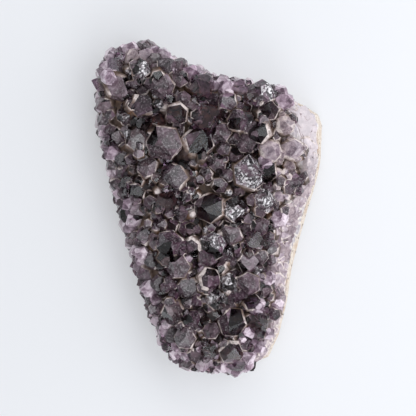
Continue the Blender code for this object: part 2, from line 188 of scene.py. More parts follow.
SIDE_HEIGHTS = (3.0 * MM, 11.5 * MM)
SIDE_LEANS = (math.radians(78), math.radians(54))
SIDE_COUNT = 38
SIDE_DEPTH = (-1.1 * MM, 0.1, 0.42)
SIDE_SWING = 0.45
SIDE_TIP = 0.16
SIDE_TWIST = 0.5
CLAD_INSET = 4.6 * MM
BROKEN_WIDTHS = (7.0 * MM, 13.0 * MM)
BROKEN_TILTS = (44.0, 52.0, 60.0, 67.0)
BROKEN_TILT_SPREAD = 4.0
BROKEN_SWING = 0.35
BROKEN_ROOT = 1.8
BROKEN_CREST = 0.2
BROKEN_BACK = math.radians(35)
BROKEN_COUNT = 24
BROKEN_CROWDING = 0.32
BROKEN_PROUD = 0.9 * MM
BROKEN_LEDGE = 2.0 * MM
SPINE = (Vector((-6.0, 38.0)) * MM, Vector((4.0, -48.0)) * MM)
BED_RINGS = ((8.0 * MM, 0.75), (17.0 * MM, 1.0))
print("bed at", round(BED_HEIGHT / MM), "mm, rind", round(RIND_THICKNESS / MM), "mm thick")

# %% [markdown]
# The outline runs clockwise from the upper left corner. Each row has x and y, how far the wall
# leans in from there, and the height of the wall's top.

# %% The outline
OUTLINE = (
    (-50.2, 60.0, 4.5, 17.0), (-46.5, 67.8, 4.0, 17.0), (-38.5, 72.0, 3.5, 18.0),
    (-28.5, 74.3, 3.5, 18.0), (-20.0, 69.2, 3.5, 19.0), (-7.5, 64.2, 3.5, 19.0),
    (2.5, 59.2, 3.5, 19.0), (14.3, 57.2, 3.5, 20.0), (25.0, 54.5, 3.0, 21.0),
    (34.5, 51.8, 3.5, 22.0), (44.2, 46.5, 9.0, 23.0), (50.3, 41.8, 13.0, 23.0),
    (52.1, 36.7, 12.5, 23.0), (52.6, 22.0, 8.0, 23.0), (51.0, 12.6, 7.5, 23.0),
    (45.9, 0.0, 11.5, 23.0), (41.9, -14.0, 13.0, 22.0), (38.8, -28.2, 9.5, 22.0),
    (37.9, -42.5, 6.0, 21.0), (33.9, -58.6, 7.0, 20.0), (29.0, -69.4, 7.0, 19.0),
    (16.5, -74.6, 3.5, 18.0), (4.0, -74.9, 3.0, 17.0), (-9.5, -73.6, 3.0, 17.0),
    (-17.5, -67.5, 3.0, 16.0), (-23.1, -56.5, 3.5, 16.0), (-27.6, -46.0, 3.5, 15.0),
    (-31.7, -32.8, 3.5, 15.0), (-35.7, -19.3, 3.5, 15.0), (-39.7, -4.7, 3.5, 15.0),
    (-44.2, 10.4, 3.5, 15.0), (-47.2, 25.0, 3.5, 16.0), (-49.7, 38.0, 4.5, 16.0),
    (-50.7, 48.0, 4.5, 17.0),
)
outline = [Vector(row) * MM for row in OUTLINE]
print(len(outline), "outline points")

# %% [markdown]
# The points that show most are placed one by one. Each row has x and y, the width, the compass
# direction that it leans to, its lean in degrees, and how far its shoulder clears the bed.

# %% The main points
MAIN_POINTS = (
    (-43.0, 54.0, 12.5, 315, 28, 3.0), (-30.0, 44.5, 11.0, 45, 34, 4.0),
    (-46.0, 65.0, 8.0, 130, 40, 1.5), (-34.5, 69.5, 8.5, 100, 36, 1.5),
    (-28.0, 70.0, 7.5, 75, 38, 1.5), (-30.5, 61.5, 9.0, 60, 12, 3.5),
    (-24.0, 66.0, 8.5, 80, 30, 2.0), (-18.0, 63.5, 9.0, 70, 28, 2.5),
    (-20.5, 54.5, 11.0, 270, 20, 3.5), (-12.5, 57.5, 7.5, 60, 12, 3.0),
    (-3.0, 53.5, 11.0, 60, 33, 3.5), (-6.0, 62.0, 8.0, 70, 35, 1.5),
    (-11.0, 48.0, 6.5, 100, 5, 2.0), (-37.5, 41.0, 8.0, 190, 12, 1.5),
    (-14.0, 42.0, 10.0, 300, 10, 3.0), (-1.5, 39.0, 12.0, 35, 24, 4.0),
    (-31.5, 29.0, 11.0, 100, 28, 3.5), (-19.0, 29.0, 15.0, 210, 12, 5.0),
    (-5.5, 27.0, 14.0, 65, 33, 4.5), (9.0, 54.5, 8.0, 100, 32, 1.5),
    (14.5, 54.0, 9.0, 85, 30, 1.5), (24.0, 51.5, 11.5, 60, 20, 3.0),
    (34.0, 47.5, 8.0, 20, 35, 1.5), (9.5, 46.0, 9.0, 140, 24, 3.0),
    (13.5, 38.0, 10.5, 30, 8, 4.0), (26.5, 43.0, 9.0, 340, 8, 3.0),
    (24.0, 34.0, 11.0, 200, 20, 4.0), (34.0, 36.5, 9.5, 0, 12, 3.0),
    (37.5, 25.5, 10.5, 0, 14, 3.0), (27.0, 25.5, 10.5, 330, 15, 4.0),
    (18.0, 28.5, 9.0, 200, 15, 3.0), (6.5, 33.5, 9.0, 200, 18, 3.0),
    (26.0, 16.5, 10.5, 250, 18, 3.5), (17.5, 14.5, 15.0, 20, 25, 5.0),
    (38.0, 11.0, 10.0, 0, 42, 1.5), (-26.5, 17.5, 10.0, 160, 15, 2.5),
    (-13.5, 14.0, 12.0, 200, 26, 4.0), (-33.5, 6.5, 8.5, 230, 18, 2.5),
    (-19.5, 1.0, 9.5, 45, 18, 3.0), (2.0, -0.5, 13.0, 180, 20, 5.0),
    (11.5, -1.0, 11.0, 0, 10, 3.5), (24.5, 2.5, 10.5, 0, 20, 4.0),
    (23.5, -9.0, 8.0, 10, 15, 2.5), (-17.5, -17.0, 12.5, 30, 8, 4.5),
    (-6.5, -17.5, 10.0, 230, 20, 2.5), (2.0, -18.5, 12.5, 60, 10, 4.5),
    (10.5, -12.5, 11.0, 250, 15, 2.5), (22.5, -15.0, 10.0, 210, 20, 3.0),
    (19.0, -23.5, 11.0, 270, 25, 3.5), (-12.5, -27.5, 10.5, 150, 20, 4.0),
    (-1.0, -33.0, 11.0, 20, 15, 5.5), (-9.0, -35.0, 10.0, 270, 30, 3.0),
    (8.5, -34.0, 9.0, 0, 10, 3.0), (18.5, -33.5, 10.5, 240, 18, 4.0),
    (19.0, -43.0, 8.0, 20, 12, 3.0), (2.5, -42.0, 9.5, 40, 15, 3.5),
    (-17.0, -47.5, 11.0, 260, 20, 3.5), (-25.0, -48.0, 7.5, 190, 42, 1.5),
    (-8.0, -51.0, 10.0, 320, 10, 2.5), (1.5, -56.0, 7.5, 90, 5, 4.0),
    (-10.0, -58.5, 10.5, 220, 12, 3.0), (-20.0, -59.5, 9.0, 215, 38, 1.5),
    (11.0, -51.0, 12.5, 250, 12, 4.0), (22.0, -51.5, 8.0, 330, 15, 3.5),
    (9.5, -66.0, 11.0, 320, 20, 3.0), (0.5, -65.5, 8.0, 270, 15, 3.0),
    (-6.0, -69.0, 8.0, 260, 38, 1.5), (-42.5, 20.0, 8.0, 175, 38, 1.0),
    (-40.0, 9.0, 8.5, 195, 40, 1.0), (-36.0, -3.0, 8.0, 195, 36, 1.0),
    (-32.5, -14.0, 8.5, 190, 38, 1.0), (-29.0, -25.5, 8.0, 200, 38, 1.0),
    (-26.0, -36.0, 8.5, 195, 36, 1.0), (-44.5, 31.0, 8.0, 185, 36, 1.0),
    (4.5, 19.5, 8.0, 120, 12, 2.0),
)
print(len(MAIN_POINTS), "main points")

# %% [markdown]
# The massive quartz under the points is drawn in rings, from its foot up the wall and in over
# the bed. The walls lean in towards a spine. On the broken side they lean in most.

# %% Rings of the crust
def moved_in(point, distance):
    """The outline point moved in towards the spine."""
    start, end = SPINE
    along = (point - start).dot(end - start) / (end - start).length_squared
    inward = start.lerp(end, min(1.0, max(0.0, along))) - point
    return point + inward.normalized() * min(distance, 0.9 * inward.length)


def skirt(row):
    """Where the foot of the wall stands at an outline point."""
    return moved_in(row.xy, max(0.0, OVERHANG - OVERHANG_LOSS * row.z))


def wave(x, y, size, wavelength):
    return size * noise.noise(Vector((x / wavelength, y / wavelength, 0.5)))


def mesh_from_rings(rings):
    """A closed mesh through the rings, the first and last filled."""
    made = bmesh.new()
    loops = [[made.verts.new(p) for p in ring] for ring in rings]
    for lower, upper in zip(loops, loops[1:]):
        for i in range(len(lower)):
            j = (i + 1) % len(lower)
            made.faces.new((lower[i], lower[j], upper[j], upper[i]))
    made.faces.new(loops[0])
    made.faces.new(loops[-1])
    bmesh.ops.triangulate(made, faces=made.faces)
    bmesh.ops.recalc_face_normals(made, faces=made.faces)
    return made


def waist_height(row):
    """How high the wall's middle is at an outline point."""
    return 0.5 * (RIND_THICKNESS + row.w)


def wall_rings(rng):
    """The wall's foot, waist and top."""
    rings = [[Vector((*skirt(p), CRUST_FOOT)) for p in outline]]
    ring = []
    for p in outline:
        rough = rng.uniform(-EDGE_ROUGHNESS, EDGE_ROUGHNESS)
        q = skirt(p).lerp(moved_in(p.xy, p.z), WAIST_INSET)
        ring.append(Vector((*moved_in(q, rough), waist_height(p))))
    rings.append(ring)
    rings.append([Vector((*moved_in(p.xy, p.z), p.w)) for p in outline])
    return rings


def bed_rings(sunk):
    """The rings of the bed, sunk by so much under the solid's."""
    rings = []
    for inset, share in BED_RINGS:
        ring = []
        for p in outline:
            q = moved_in(p.xy, p.z + inset)
            bed = BED_HEIGHT - sunk + wave(q.x, q.y, BED_WAVE, BED_WAVELENGTH)
            ring.append(Vector((q.x, q.y, p.w + share * (bed - p.w))))
        rings.append(ring)
    return rings


walls = wall_rings(random.Random(SEEDS["crust"]))
bed = BVHTree.FromBMesh(mesh_from_rings(walls + bed_rings(0.0)))
print("rings of", len(outline), "points:", len(walls), "up the wall and", len(BED_RINGS), "on the bed")

# %% [markdown]
# A quartz point is a six-sided prism that ends in sloping faces, all at the same angle to its
# axis. Cutting them one by one from a prism gives every habit: six even faces, three faces, or
# one broad face where a point leaned into the open. A prism snapped across gives a flat end.

# %% Quartz shapes
def tilted(angle, tilt):
    """A unit vector that leans from +Z by tilt, towards the direction angle."""
    return Vector(
        (math.sin(tilt) * math.cos(angle), math.sin(tilt) * math.sin(angle), math.cos(tilt))
    )


def cut_off(made, point, normal):
    """Cuts away what lies beyond a plane, and closes the cut with one face."""
    parts = made.verts[:] + made.edges[:] + made.faces[:]
    cut = bmesh.ops.bisect_plane(
        made, geom=parts, plane_co=point, plane_no=normal, dist=1e-5, clear_outer=True
    )
    rim = [e for e in cut["geom_cut"] if isinstance(e, bmesh.types.BMEdge)]
    if len(rim) > 2:
        bmesh.ops.contextual_create(made, geom=rim)


def unit_prism(root, rng):
    """A six-sided quartz prism one unit wide, not quite regular, from its root up past z = 1."""
    made = bmesh.new()
    bmesh.ops.create_cone(
        made,
        cap_ends=True,
        segments=6,
        radius1=0.5,
        radius2=0.5 * PRISM_TAPER,
        depth=root + PRISM_TOP,
        matrix=Matrix.Translation((0, 0, (PRISM_TOP - root) / 2)),
    )
    across = tilted(rng.uniform(0, math.tau), math.pi / 2)
    squeeze = Matrix.Scale(rng.uniform(*SQUEEZE), 4, across)
    bmesh.ops.transform(made, matrix=squeeze, verts=made.verts)
    return made


def point_shape(faces, lowest, highest, rng):
    """A unit quartz point with its shoulder at z = 0 and its first end face towards +X."""
    made = unit_prism(ROOT, rng)
    tip = 0.5 * math.cos(math.pi / 6) * math.tan(FACE_ANGLE)
    for face in range(faces):
        if face == 0:
            share = rng.uniform(lowest, highest)
        elif faces == 6 and face % 2 == 1:
            share = rng.uniform(*LESSER_FACES)
        else:
            share = rng.uniform(*FLANK_FACES)
        cut_off(made, Vector((0, 0, tip * share)), tilted(math.tau * face / faces, FACE_ANGLE))
    return made


def broken_shape(tilt, rng):
    """A unit prism snapped off at z = 0, its flat end tipped towards +X, and its back sloped."""
    made = unit_prism(BROKEN_ROOT, rng)
    facing = rng.uniform(-BROKEN_SWING, BROKEN_SWING)
    cut_off(made, Vector((0, 0, 0)), tilted(facing, math.radians(tilt)))
    cut_off(made, Vector((0, 0, BROKEN_CREST)), tilted(facing + math.pi, BROKEN_BACK))
    return made


shape_rng = random.Random(SEEDS["shapes"])
shapes = []
shapes_of = {}
for habit, (count, faces, lowest, highest) in HABITS.items():
    shapes_of[habit] = [len(shapes) + i for i in range(count)]
    shapes += [point_shape(faces, lowest, highest, shape_rng) for _ in range(count)]
shapes_of["broken"] = [len(shapes) + i for i in range(len(BROKEN_TILTS))]
shapes += [broken_shape(tilt, shape_rng) for tilt in BROKEN_TILTS]
print(len(shapes), "quartz shapes", shapes_of)

# %% [markdown]
# Each point wears a coat of milky quartz on its prism sides. It ends just over the shoulder,
# as a thin pale rim round the end faces, thicker on one side and missing on some. To get that
# rim, the end faces are cut along planes set in from the prism's sides, a little askew, and
# each face is told what it is made of. Some ends are clear and look black, because the glass
# is deep under them. Most are smoky: full of veils that stop the light just under the face.
# Others are etched, or milky as near the broken side, or bare of any coat.

# %% Finishes of each shape
COAT, CLEAR, MILK, SMOKE = 0, 1, 2, 3
FINISHES = {
    # what the ends are of, the rim's least and greatest width in widths, how far etched, and
    # how many in ten have a blunt tip
    "black": (CLEAR, 0.01, 0.06, 0.0, 2),
    "black cup": (CLEAR, 0.03, 0.13, 0.0, 2),
    "smoky": (SMOKE, 0.0, 0.045, 0.1, 4),
    "smoky cup": (SMOKE, 0.02, 0.085, 0.1, 3),
    "etched": (SMOKE, 0.0, 0.045, 1.0, 3),
    "milky": (MILK, 0.06, 0.15, 0.0, 4),
    "bare": (CLEAR, 0.0, 0.0, 0.1, 8),
    "bare milky": (MILK, 0.0, 0.0, 0.0, 9),
    "coated": (COAT, 0.0, 0.0, 0.0, 5),
}
FINISH_NAMES = list(FINISHES)
print(len(FINISHES), "finishes")

# %% [markdown]
# A finish is cut into a copy of the shape. Chips and a blunt tip come off first, because many
# of the real points are chipped. The rims could be painted by a pattern instead, but a pattern
# runs over the edges of the facets, and a cut follows them.

# %% Cutting a finish into a shape
FINISH_SEED = 31
END_FACES = 0.3  # faces whose normal rises more than this are end faces
SIDE_FACES = 0.2  # and those whose normal rises less are sides
BROKEN_RISE = 0.1  # how far above its shoulder a broken prism counts as, in widths
RIMLESS = 0.22  # the share of sides without a rim
RIM_UNEVEN = (0.5, 1.0)  # the share of its full width that a rim has
RIM_SKEW = 0.16  # how far a rim's inner edge turns from the side, in radians
OTHER_END = 0.22  # the share of clear ends that are smoky instead, and the reverse
CHIPS = (2, 4)  # how many corners of a shoulder are cut off askew
CHIP_DEPTH = (0.31, 0.42)  # how far from the axis, in widths
CHIP_TILT = (math.radians(48), math.radians(70))
BLUNT_HEIGHT = (0.26, 0.40)  # where a blunt tip ends above the shoulder, in widths
BLUNT_TILT = math.radians(26)


def carry(mesh, name, kind_of, domain, values):
    """Gives a mesh an attribute with one value for each point, face or corner."""
    made = mesh.attributes.new(name, kind_of, domain)
    for item, value in zip(made.data, values):
        if kind_of == "FLOAT_VECTOR":
            item.vector = value
        else:
            item.value = value


def rim_planes(sides, thinnest, thickest, rng):
    """The planes that part the rim on each side from the end face inside it."""
    thick_side = rng.uniform(0, math.tau)
    planes = []
    for normal, place in sides:
        facing = 0.5 + 0.5 * math.cos(math.atan2(normal.y, normal.x) - thick_side)
        inset = thinnest + (thickest - thinnest) * facing * rng.uniform(*RIM_UNEVEN)
        if rng.random() < RIMLESS:
            inset = 0.0
        skew = Matrix.Rotation(rng.uniform(-RIM_SKEW, RIM_SKEW), 3, "Z")
        planes.append((skew @ normal, place - normal * inset))
    return planes


def finished_shape(shape, finish, rng):
    """A copy of the shape as a mesh. Its faces carry their stuff, lot, etching and height."""
    end_stuff, thinnest, thickest, etched, blunt = finish
    made = bmesh.new()
    carrier = bpy.data.meshes.new("carrier")
    shape.to_mesh(carrier)
    made.from_mesh(carrier)
    bpy.data.meshes.remove(carrier)
    if shape not in broken_shapes:
        for _ in range(rng.randint(*CHIPS)):
            around = rng.uniform(0, math.tau)
            out = tilted(around, math.pi / 2) * rng.uniform(*CHIP_DEPTH)
            cut_off(made, out, tilted(around, rng.uniform(*CHIP_TILT)))
        if rng.random() < blunt / 10:
            flat = tilted(rng.uniform(0, math.tau), rng.uniform(0, BLUNT_TILT))
            cut_off(made, Vector((0, 0, rng.uniform(*BLUNT_HEIGHT))), flat)
    made.normal_update()
    upright = [f for f in made.faces if abs(f.normal.z) < SIDE_FACES]
    sides = [(f.normal.copy(), f.calc_center_median()) for f in upright]
    planes = rim_planes(sides, thinnest, thickest, rng) if thickest > 0 else []
    for normal, place in planes:
        ends = [f for f in made.faces if f.normal.z > END_FACES]
        parts = ends + list({e for f in ends for e in f.edges}) + list({v for f in ends for v in f.verts})
        bmesh.ops.bisect_plane(made, geom=parts, plane_co=place, plane_no=normal, dist=1e-5)
    made.normal_update()
    # Each facing also gets a random shade, which the finishes turn into a tone of its own on each facet:
    # painted reflection, standing in for what each facet reflects.
    stuff, shades, ends = [], [], {}
    for face in made.faces:
        middle = face.calc_center_median()
        inside = all((middle - place).dot(normal) < 0 for normal, place in planes)
        facing = tuple(round(part, 1) for part in face.normal)
        if facing not in ends:
            other = {CLEAR: SMOKE, SMOKE: CLEAR}.get(end_stuff, end_stuff)
            ends[facing] = (other if rng.random() < OTHER_END and planes else end_stuff, rng.random())
        end, shade = ends[facing]
        stuff.append(end if not planes or (face.normal.z > END_FACES and inside) else COAT)
        shades.append(shade)
    mesh = bpy.data.meshes.new("quartz")
    made.to_mesh(mesh)
    made.free()
    lot = rng.random()
    bites = [etched if made_of in (CLEAR, SMOKE) else 0.0 for made_of in stuff]
    heights = [mesh.vertices[loop.vertex_index].co.z for loop in mesh.loops]
    if shape in broken_shapes:
        heights = [BROKEN_RISE] * len(heights)
    carry(mesh, "stuff", "INT", "FACE", stuff)
    carry(mesh, "lot", "FLOAT", "FACE", [lot] * len(stuff))
    carry(mesh, "shade", "FLOAT", "FACE", shades)
    carry(mesh, "etched", "FLOAT", "FACE", bites)
    carry(mesh, "rise", "FLOAT", "CORNER", heights)
    return mesh


finish_rng = random.Random(FINISH_SEED)
broken_shapes = [shapes[i] for i in shapes_of["broken"]]
kinds = bpy.data.collections.new("kinds")
for shape in shapes:
    for finish in FINISHES.values():
        mesh = finished_shape(shape, finish, finish_rng)
        kind = bpy.data.objects.new("kind_%03d" % len(kinds.objects), mesh)
        kinds.objects.link(kind)

# %% [markdown]
# The next four cells throw the same crystals as the solids have, in the same order. The main
# points come first. Each stands on the bed and leans the way that its row says.

# %% The main points on the bed
class Crystal:
    """Where one crystal stands: its shoulder's middle, its width, its lean and its shape."""

    def __init__(self, foot, width, lean_to, lean, shape, twist):
        self.foot = foot
        self.width = width
        self.shape = shape
        turn = Matrix.Rotation(lean, 4, tilted(lean_to + math.pi / 2, math.pi / 2))
        self.turn = turn @ Matrix.Rotation(twist, 4, "Z")
        self.finish = "smoky"


def main_crystals(rng):
    found = []
    for x, y, width, compass, degrees, rise in MAIN_POINTS:
        lean_to, lean = math.radians(compass), math.radians(degrees)
        ground = bed.find_nearest(Vector((x * MM, y * MM, BED_HEIGHT)))[0]
        foot = ground + tilted(lean_to, lean) * rise * MM
        twist = lean_to + math.pi + rng.uniform(-MAIN_TWIST, MAIN_TWIST)
        shape = rng.choice(shapes_of["broad" if lean > BROAD_LEAN else "even"])
        found.append(Crystal(foot, CROWN * width * MM, lean_to, lean, shape, twist))
    return found


rngs = {stage: random.Random(seed) for stage, seed in SEEDS.items()}
main_ones = main_crystals(rngs["main"])
print(len(main_ones), "main points stand on the bed")

# %% [markdown]
# Smaller points fill the bed between them. Each is thrown at a random place and kept only if it
# finds room there. A grid with some jitter would be quicker, but its rows would show.

# %% Points that fill the bed
def has_room(foot, width, others, crowding):
    return all((foot - c.foot).length > crowding * (width + c.width) for c in others)


def fill_crystals(grown, rng, widths, rises, spread, count, crowding, tries):
    """Throws smaller points at the bed, and keeps those that find room."""
    reach = [max(abs(row[axis]) for row in OUTLINE) * MM for axis in (0, 1)]
    found = []
    for _ in range(tries):
        x, y = (rng.uniform(-limit, limit) for limit in reach)
        width, rise = rng.uniform(*widths), rng.uniform(*rises)
        lean_to, lean = rng.uniform(0, math.tau), spread * math.sqrt(rng.random())
        ground, normal = bed.ray_cast(Vector((x, y, 1.0)), Vector((0, 0, -1)))[:2]
        if ground is None or normal.z < FLAT_BED:
            continue
        foot = ground + tilted(lean_to, lean) * rise
        if not has_room(foot, width, grown + found, crowding):
            continue
        shape, twist = rng.choice(shapes_of["three"]), rng.uniform(0, math.tau)
        found.append(Crystal(foot, width, lean_to, lean, shape, twist))
        if len(found) == count:
            break
    return found


fill_ones = fill_crystals(
    main_ones, rngs["fill"], FILL_WIDTHS, FILL_RISE, FILL_LEAN, FILL_COUNT, CROWDING, TRIES
)
print(len(fill_ones), "points fill the bed")

# %% [markdown]
# On the walls that aren't broken, points look outwards, the lowest ones almost level. Each starts
# from a random place on the outline and is moved in by as much as its width and height need.

# %% Points that look outwards
def outline_place(rng):
    """A random place on the outline, and the direction that looks straight out from there."""
    i = rng.randrange(len(outline))
    here, there = outline[i], outline[(i + 1) % len(outline)]
    side = (there - here).xy
    return here.lerp(there, rng.random()), math.atan2(side.x, -side.y)


def side_crystals(grown, rng, widths, count, crowding):
    """Points that look outwards, on the walls that aren't broken."""
    found = []
    for _ in range(TRIES):
        place, outward = outline_place(rng)
        up, width = rng.random(), rng.uniform(*widths)
        swing, tip = rng.uniform(-SIDE_SWING, SIDE_SWING), rng.uniform(-SIDE_TIP, SIDE_TIP)
        height = SIDE_HEIGHTS[0] + up * (SIDE_HEIGHTS[1] - SIDE_HEIGHTS[0])
        lean = SIDE_LEANS[0] + up * (SIDE_LEANS[1] - SIDE_LEANS[0]) + tip
        base, of_height, of_width = SIDE_DEPTH
        inward = base + of_height * height + of_width * width
        foot = Vector((*moved_in(place.xy, inward), RIND_THICKNESS + height))
        if place.z > CLAD_INSET or not has_room(foot, width, grown + found, crowding):
            continue
        lean_to = outward + swing
        shape = rng.choice(shapes_of["three"])
        twist = lean_to + math.pi + rng.uniform(-SIDE_TWIST, SIDE_TWIST)
        found.append(Crystal(foot, width, lean_to, lean, shape, twist))
        if len(found) == count:
            break
    return found


side_ones = side_crystals(main_ones + fill_ones, rngs["side"], SIDE_WIDTHS, SIDE_COUNT, CROWDING)
print(len(side_ones), "points look outwards")

# %% [markdown]
# Where the slab snapped, the prisms end in flat breaks that follow the wall's slope. Each takes
# the snapped shape whose break is nearest to that slope, so a few shapes do for the whole wall.

# %% Snapped prisms
def broken_crystals(rng, widths, count, crowding, proud):
    """Snapped prisms on the broken walls."""
    found = []
    for _ in range(TRIES):
        place, outward = outline_place(rng)
        up, width = rng.random(), rng.uniform(*widths)
        swing = rng.uniform(-BROKEN_SWING, BROKEN_SWING)
        extra = rng.uniform(-BROKEN_TILT_SPREAD, BROKEN_TILT_SPREAD)
        waist, waist_in = waist_height(place), WAIST_INSET * place.z
        slope = math.degrees(math.atan2(place.w - waist, place.z - waist_in)) + extra
        nearest = min(range(len(BROKEN_TILTS)), key=lambda i: abs(BROKEN_TILTS[i] - slope))
        inward = waist_in + up * (place.z - waist_in)
        height = waist + up * (place.w - waist) + proud
        foot = Vector((*moved_in(place.xy, inward), height))
        if place.z <= CLAD_INSET or inward < BROKEN_LEDGE + width / 2:
            continue
        if not has_room(foot, width, found, crowding):
            continue
        shape, twist = shapes_of["broken"][nearest], outward + swing
        found.append(Crystal(foot, width, 0.0, 0.0, shape, twist))
        if len(found) == count:
            break
    return found


broken_ones = broken_crystals(rngs["broken"], BROKEN_WIDTHS, BROKEN_COUNT, BROKEN_CROWDING, BROKEN_PROUD)
print(len(broken_ones), "snapped prisms")

# %% [markdown]
# The real slab has many more small crystals than the solids need. The first sort grows on the
# shoulders of the big points and nearly parallel to them, as crystals of one lattice do, so each
# takes its host's turn and adds a little of its own.

# %% Small points on the shoulders
SMALL_SEED = 41
TWIN_FROM = 9.0 * MM  # points wider than this carry smaller ones
TWIN_COUNTS = (2, 3, 4)
TWIN_WIDTHS = (0.36, 0.70)
TWIN_OUT = (0.24, 0.48)  # how far from the host's axis, in widths
TWIN_SUNK = (0.0, 0.5)  # how far below the host's shoulder, in their own widths
TWIN_LEANS = (0.0, math.radians(16))


def twin_crystals(hosts, rng):
    """Small points on the shoulders of big ones, nearly parallel to them."""
    found = []
    for host in hosts:
        if host.width < TWIN_FROM:
            continue
        for _ in range(rng.choice(TWIN_COUNTS)):
            width = host.width * rng.uniform(*TWIN_WIDTHS)
            around = host.turn @ tilted(rng.uniform(0, math.tau), math.pi / 2)
            along = host.turn @ Vector((0, 0, 1))
            foot = host.foot + around * host.width * rng.uniform(*TWIN_OUT)
            foot -= along * width * rng.uniform(*TWIN_SUNK)
            shape = rng.choice(shapes_of["even"] + shapes_of["three"])
            twin = Crystal(foot, width, rng.uniform(0, math.tau), rng.uniform(*TWIN_LEANS), shape, 0.0)
            twin.turn = host.turn @ twin.turn
            found.append(twin)
    return found


small_rng = random.Random(SMALL_SEED)
twin_ones = twin_crystals(main_ones, small_rng)
print(len(twin_ones), "small points on the shoulders")

# %% [markdown]
# Between the bed and the points of the sides, a row leans out over the walls. It hides the top
# of each wall, so that no bare quartz shows from above on the sides that aren't broken.

# %% Points that lean out over the walls
RIM_WIDTHS = (5.5 * MM, 10.0 * MM)
RIM_INSETS = (1.5 * MM, 7.0 * MM)
RIM_LEANS = (math.radians(22), math.radians(55))
RIM_SWING = 0.8
RIM_TWIST = 0.6
RIM_RISE = (0.3 * MM, 2.2 * MM)
RIM_COUNT = 100
RIM_CROWDING = 0.27


def rim_crystals(grown, rng, count, crowding):
    """Points that lean out over the tops of the walls that aren't broken."""
    found = []
    for _ in range(TRIES):
        place, outward = outline_place(rng)
        inset, width = rng.uniform(*RIM_INSETS), rng.uniform(*RIM_WIDTHS)
        lean_to, lean = outward + rng.uniform(-RIM_SWING, RIM_SWING), rng.uniform(*RIM_LEANS)
        x, y = moved_in(place.xy, inset)
        ground = bed.ray_cast(Vector((x, y, 1.0)), Vector((0, 0, -1)))[0]
        if ground is None or place.z > CLAD_INSET:
            continue
        foot = ground + tilted(lean_to, lean) * rng.uniform(*RIM_RISE)
        if not has_room(foot, width, grown + found, crowding):
            continue
        shape = rng.choice(shapes_of["even"] + shapes_of["three"])
        twist = lean_to + math.pi + rng.uniform(-RIM_TWIST, RIM_TWIST)
        found.append(Crystal(foot, width, lean_to, lean, shape, twist))
        if len(found) == count:
            break
    return found


rim_ones = rim_crystals(main_ones + fill_ones + side_ones, small_rng, RIM_COUNT, RIM_CROWDING)
print(len(rim_ones), "points lean out over the walls")

# %% [markdown]
# The smallest points crowd the gaps of the bed at all angles, more look outwards from the sides,
# and narrow columns fill the broken wall. They are thrown like the larger ones, with other sizes.

# %% The smallest points and the narrow columns
SMALL_WIDTHS = (3.4 * MM, 6.6 * MM)
SMALL_RISE = (0.4 * MM, 3.6 * MM)
SMALL_LEAN = math.radians(50)
SMALL_COUNT = 260
SMALL_CROWDING = 0.24
SMALL_TRIES = 6 * TRIES
SMALL_SIDE_WIDTHS = (5.0 * MM, 9.0 * MM)
SMALL_SIDE_COUNT = 60
SMALL_SIDE_CROWDING = 0.27
COLUMN_WIDTHS = (3.5 * MM, 7.5 * MM)
COLUMN_COUNT = 100
COLUMN_CROWDING = 0.26
COLUMN_PROUD = 1.0 * MM

standing = main_ones + fill_ones + twin_ones + rim_ones
small_ones = fill_crystals(
    standing, small_rng, SMALL_WIDTHS, SMALL_RISE, SMALL_LEAN, SMALL_COUNT, SMALL_CROWDING, SMALL_TRIES
)
small_sides = side_crystals(
    side_ones, small_rng, SMALL_SIDE_WIDTHS, SMALL_SIDE_COUNT, SMALL_SIDE_CROWDING
)
column_ones = broken_crystals(small_rng, COLUMN_WIDTHS, COLUMN_COUNT, COLUMN_CROWDING, COLUMN_PROUD)
print("on the bed", len(small_ones), "on the sides", len(small_sides), "columns", len(column_ones))

# %% [markdown]
# Where a point stands says how it looks, so the slab is parted into regions: the edge, the milky
# right side, the bed above the lower broken wall, and the darker left edge.

# %% Regions of the slab
EDGE_REACH = 4.5 * MM  # points this near the edge count as edge points
TOP_REACH = 7.5 * MM  # and so do these, right of the upper left corner
TOP_FROM = Vector((-22.0, 44.0)) * MM
MILKY_FROM = 29.0 * MM  # points further right than this are mostly milky
LOWER_FROM = -4.0 * MM  # below this y the broken wall shows dark sections
WALL_REACH = 17.0 * MM
LEFT_OF = -18.0 * MM
LEFT_UP_TO = 58.0 * MM


def from_edge(place):
    """How far a place is from the nearest side of the outline."""
    nearest = 1.0
    for here, there in zip(outline, outline[1:] + outline[:1]):
        side = (there - here).xy
        along = min(1.0, max(0.0, (place - here.xy).dot(side) / side.length_squared))
        nearest = min(nearest, (here.xy + side * along - place).length)
    return nearest


def by_the_wall(place):
    """Whether a place is on the bed above the lower broken wall."""
    return place.x > 0.0 and place.y < LOWER_FROM and from_edge(place) < WALL_REACH


def edge_reach(place):
    """How near the edge a point at a place must be to count as an edge point."""
    return TOP_REACH if place.x > TOP_FROM.x and place.y > TOP_FROM.y else EDGE_REACH


def at_the_left(place):
    """Whether a place is by the long left edge, where the points are darker."""
    return place.x < LEFT_OF and place.y < LEFT_UP_TO


near_edge = [c for c in main_ones if from_edge(c.foot.xy) < edge_reach(c.foot.xy)]
print(len(near_edge), "of the main points are near the edge")

# %% [markdown]
# Points near the edge are thin, let light through from the side and wear little coat, so they
# look lilac, and so do some of the ones further in. The others look almost black or smoky. Near
# the broken side they turn milky, with thick rims. The two sorts of glass are grown as two
# pieces, because a piece can hold only one. The points that catch the eye have theirs chosen.

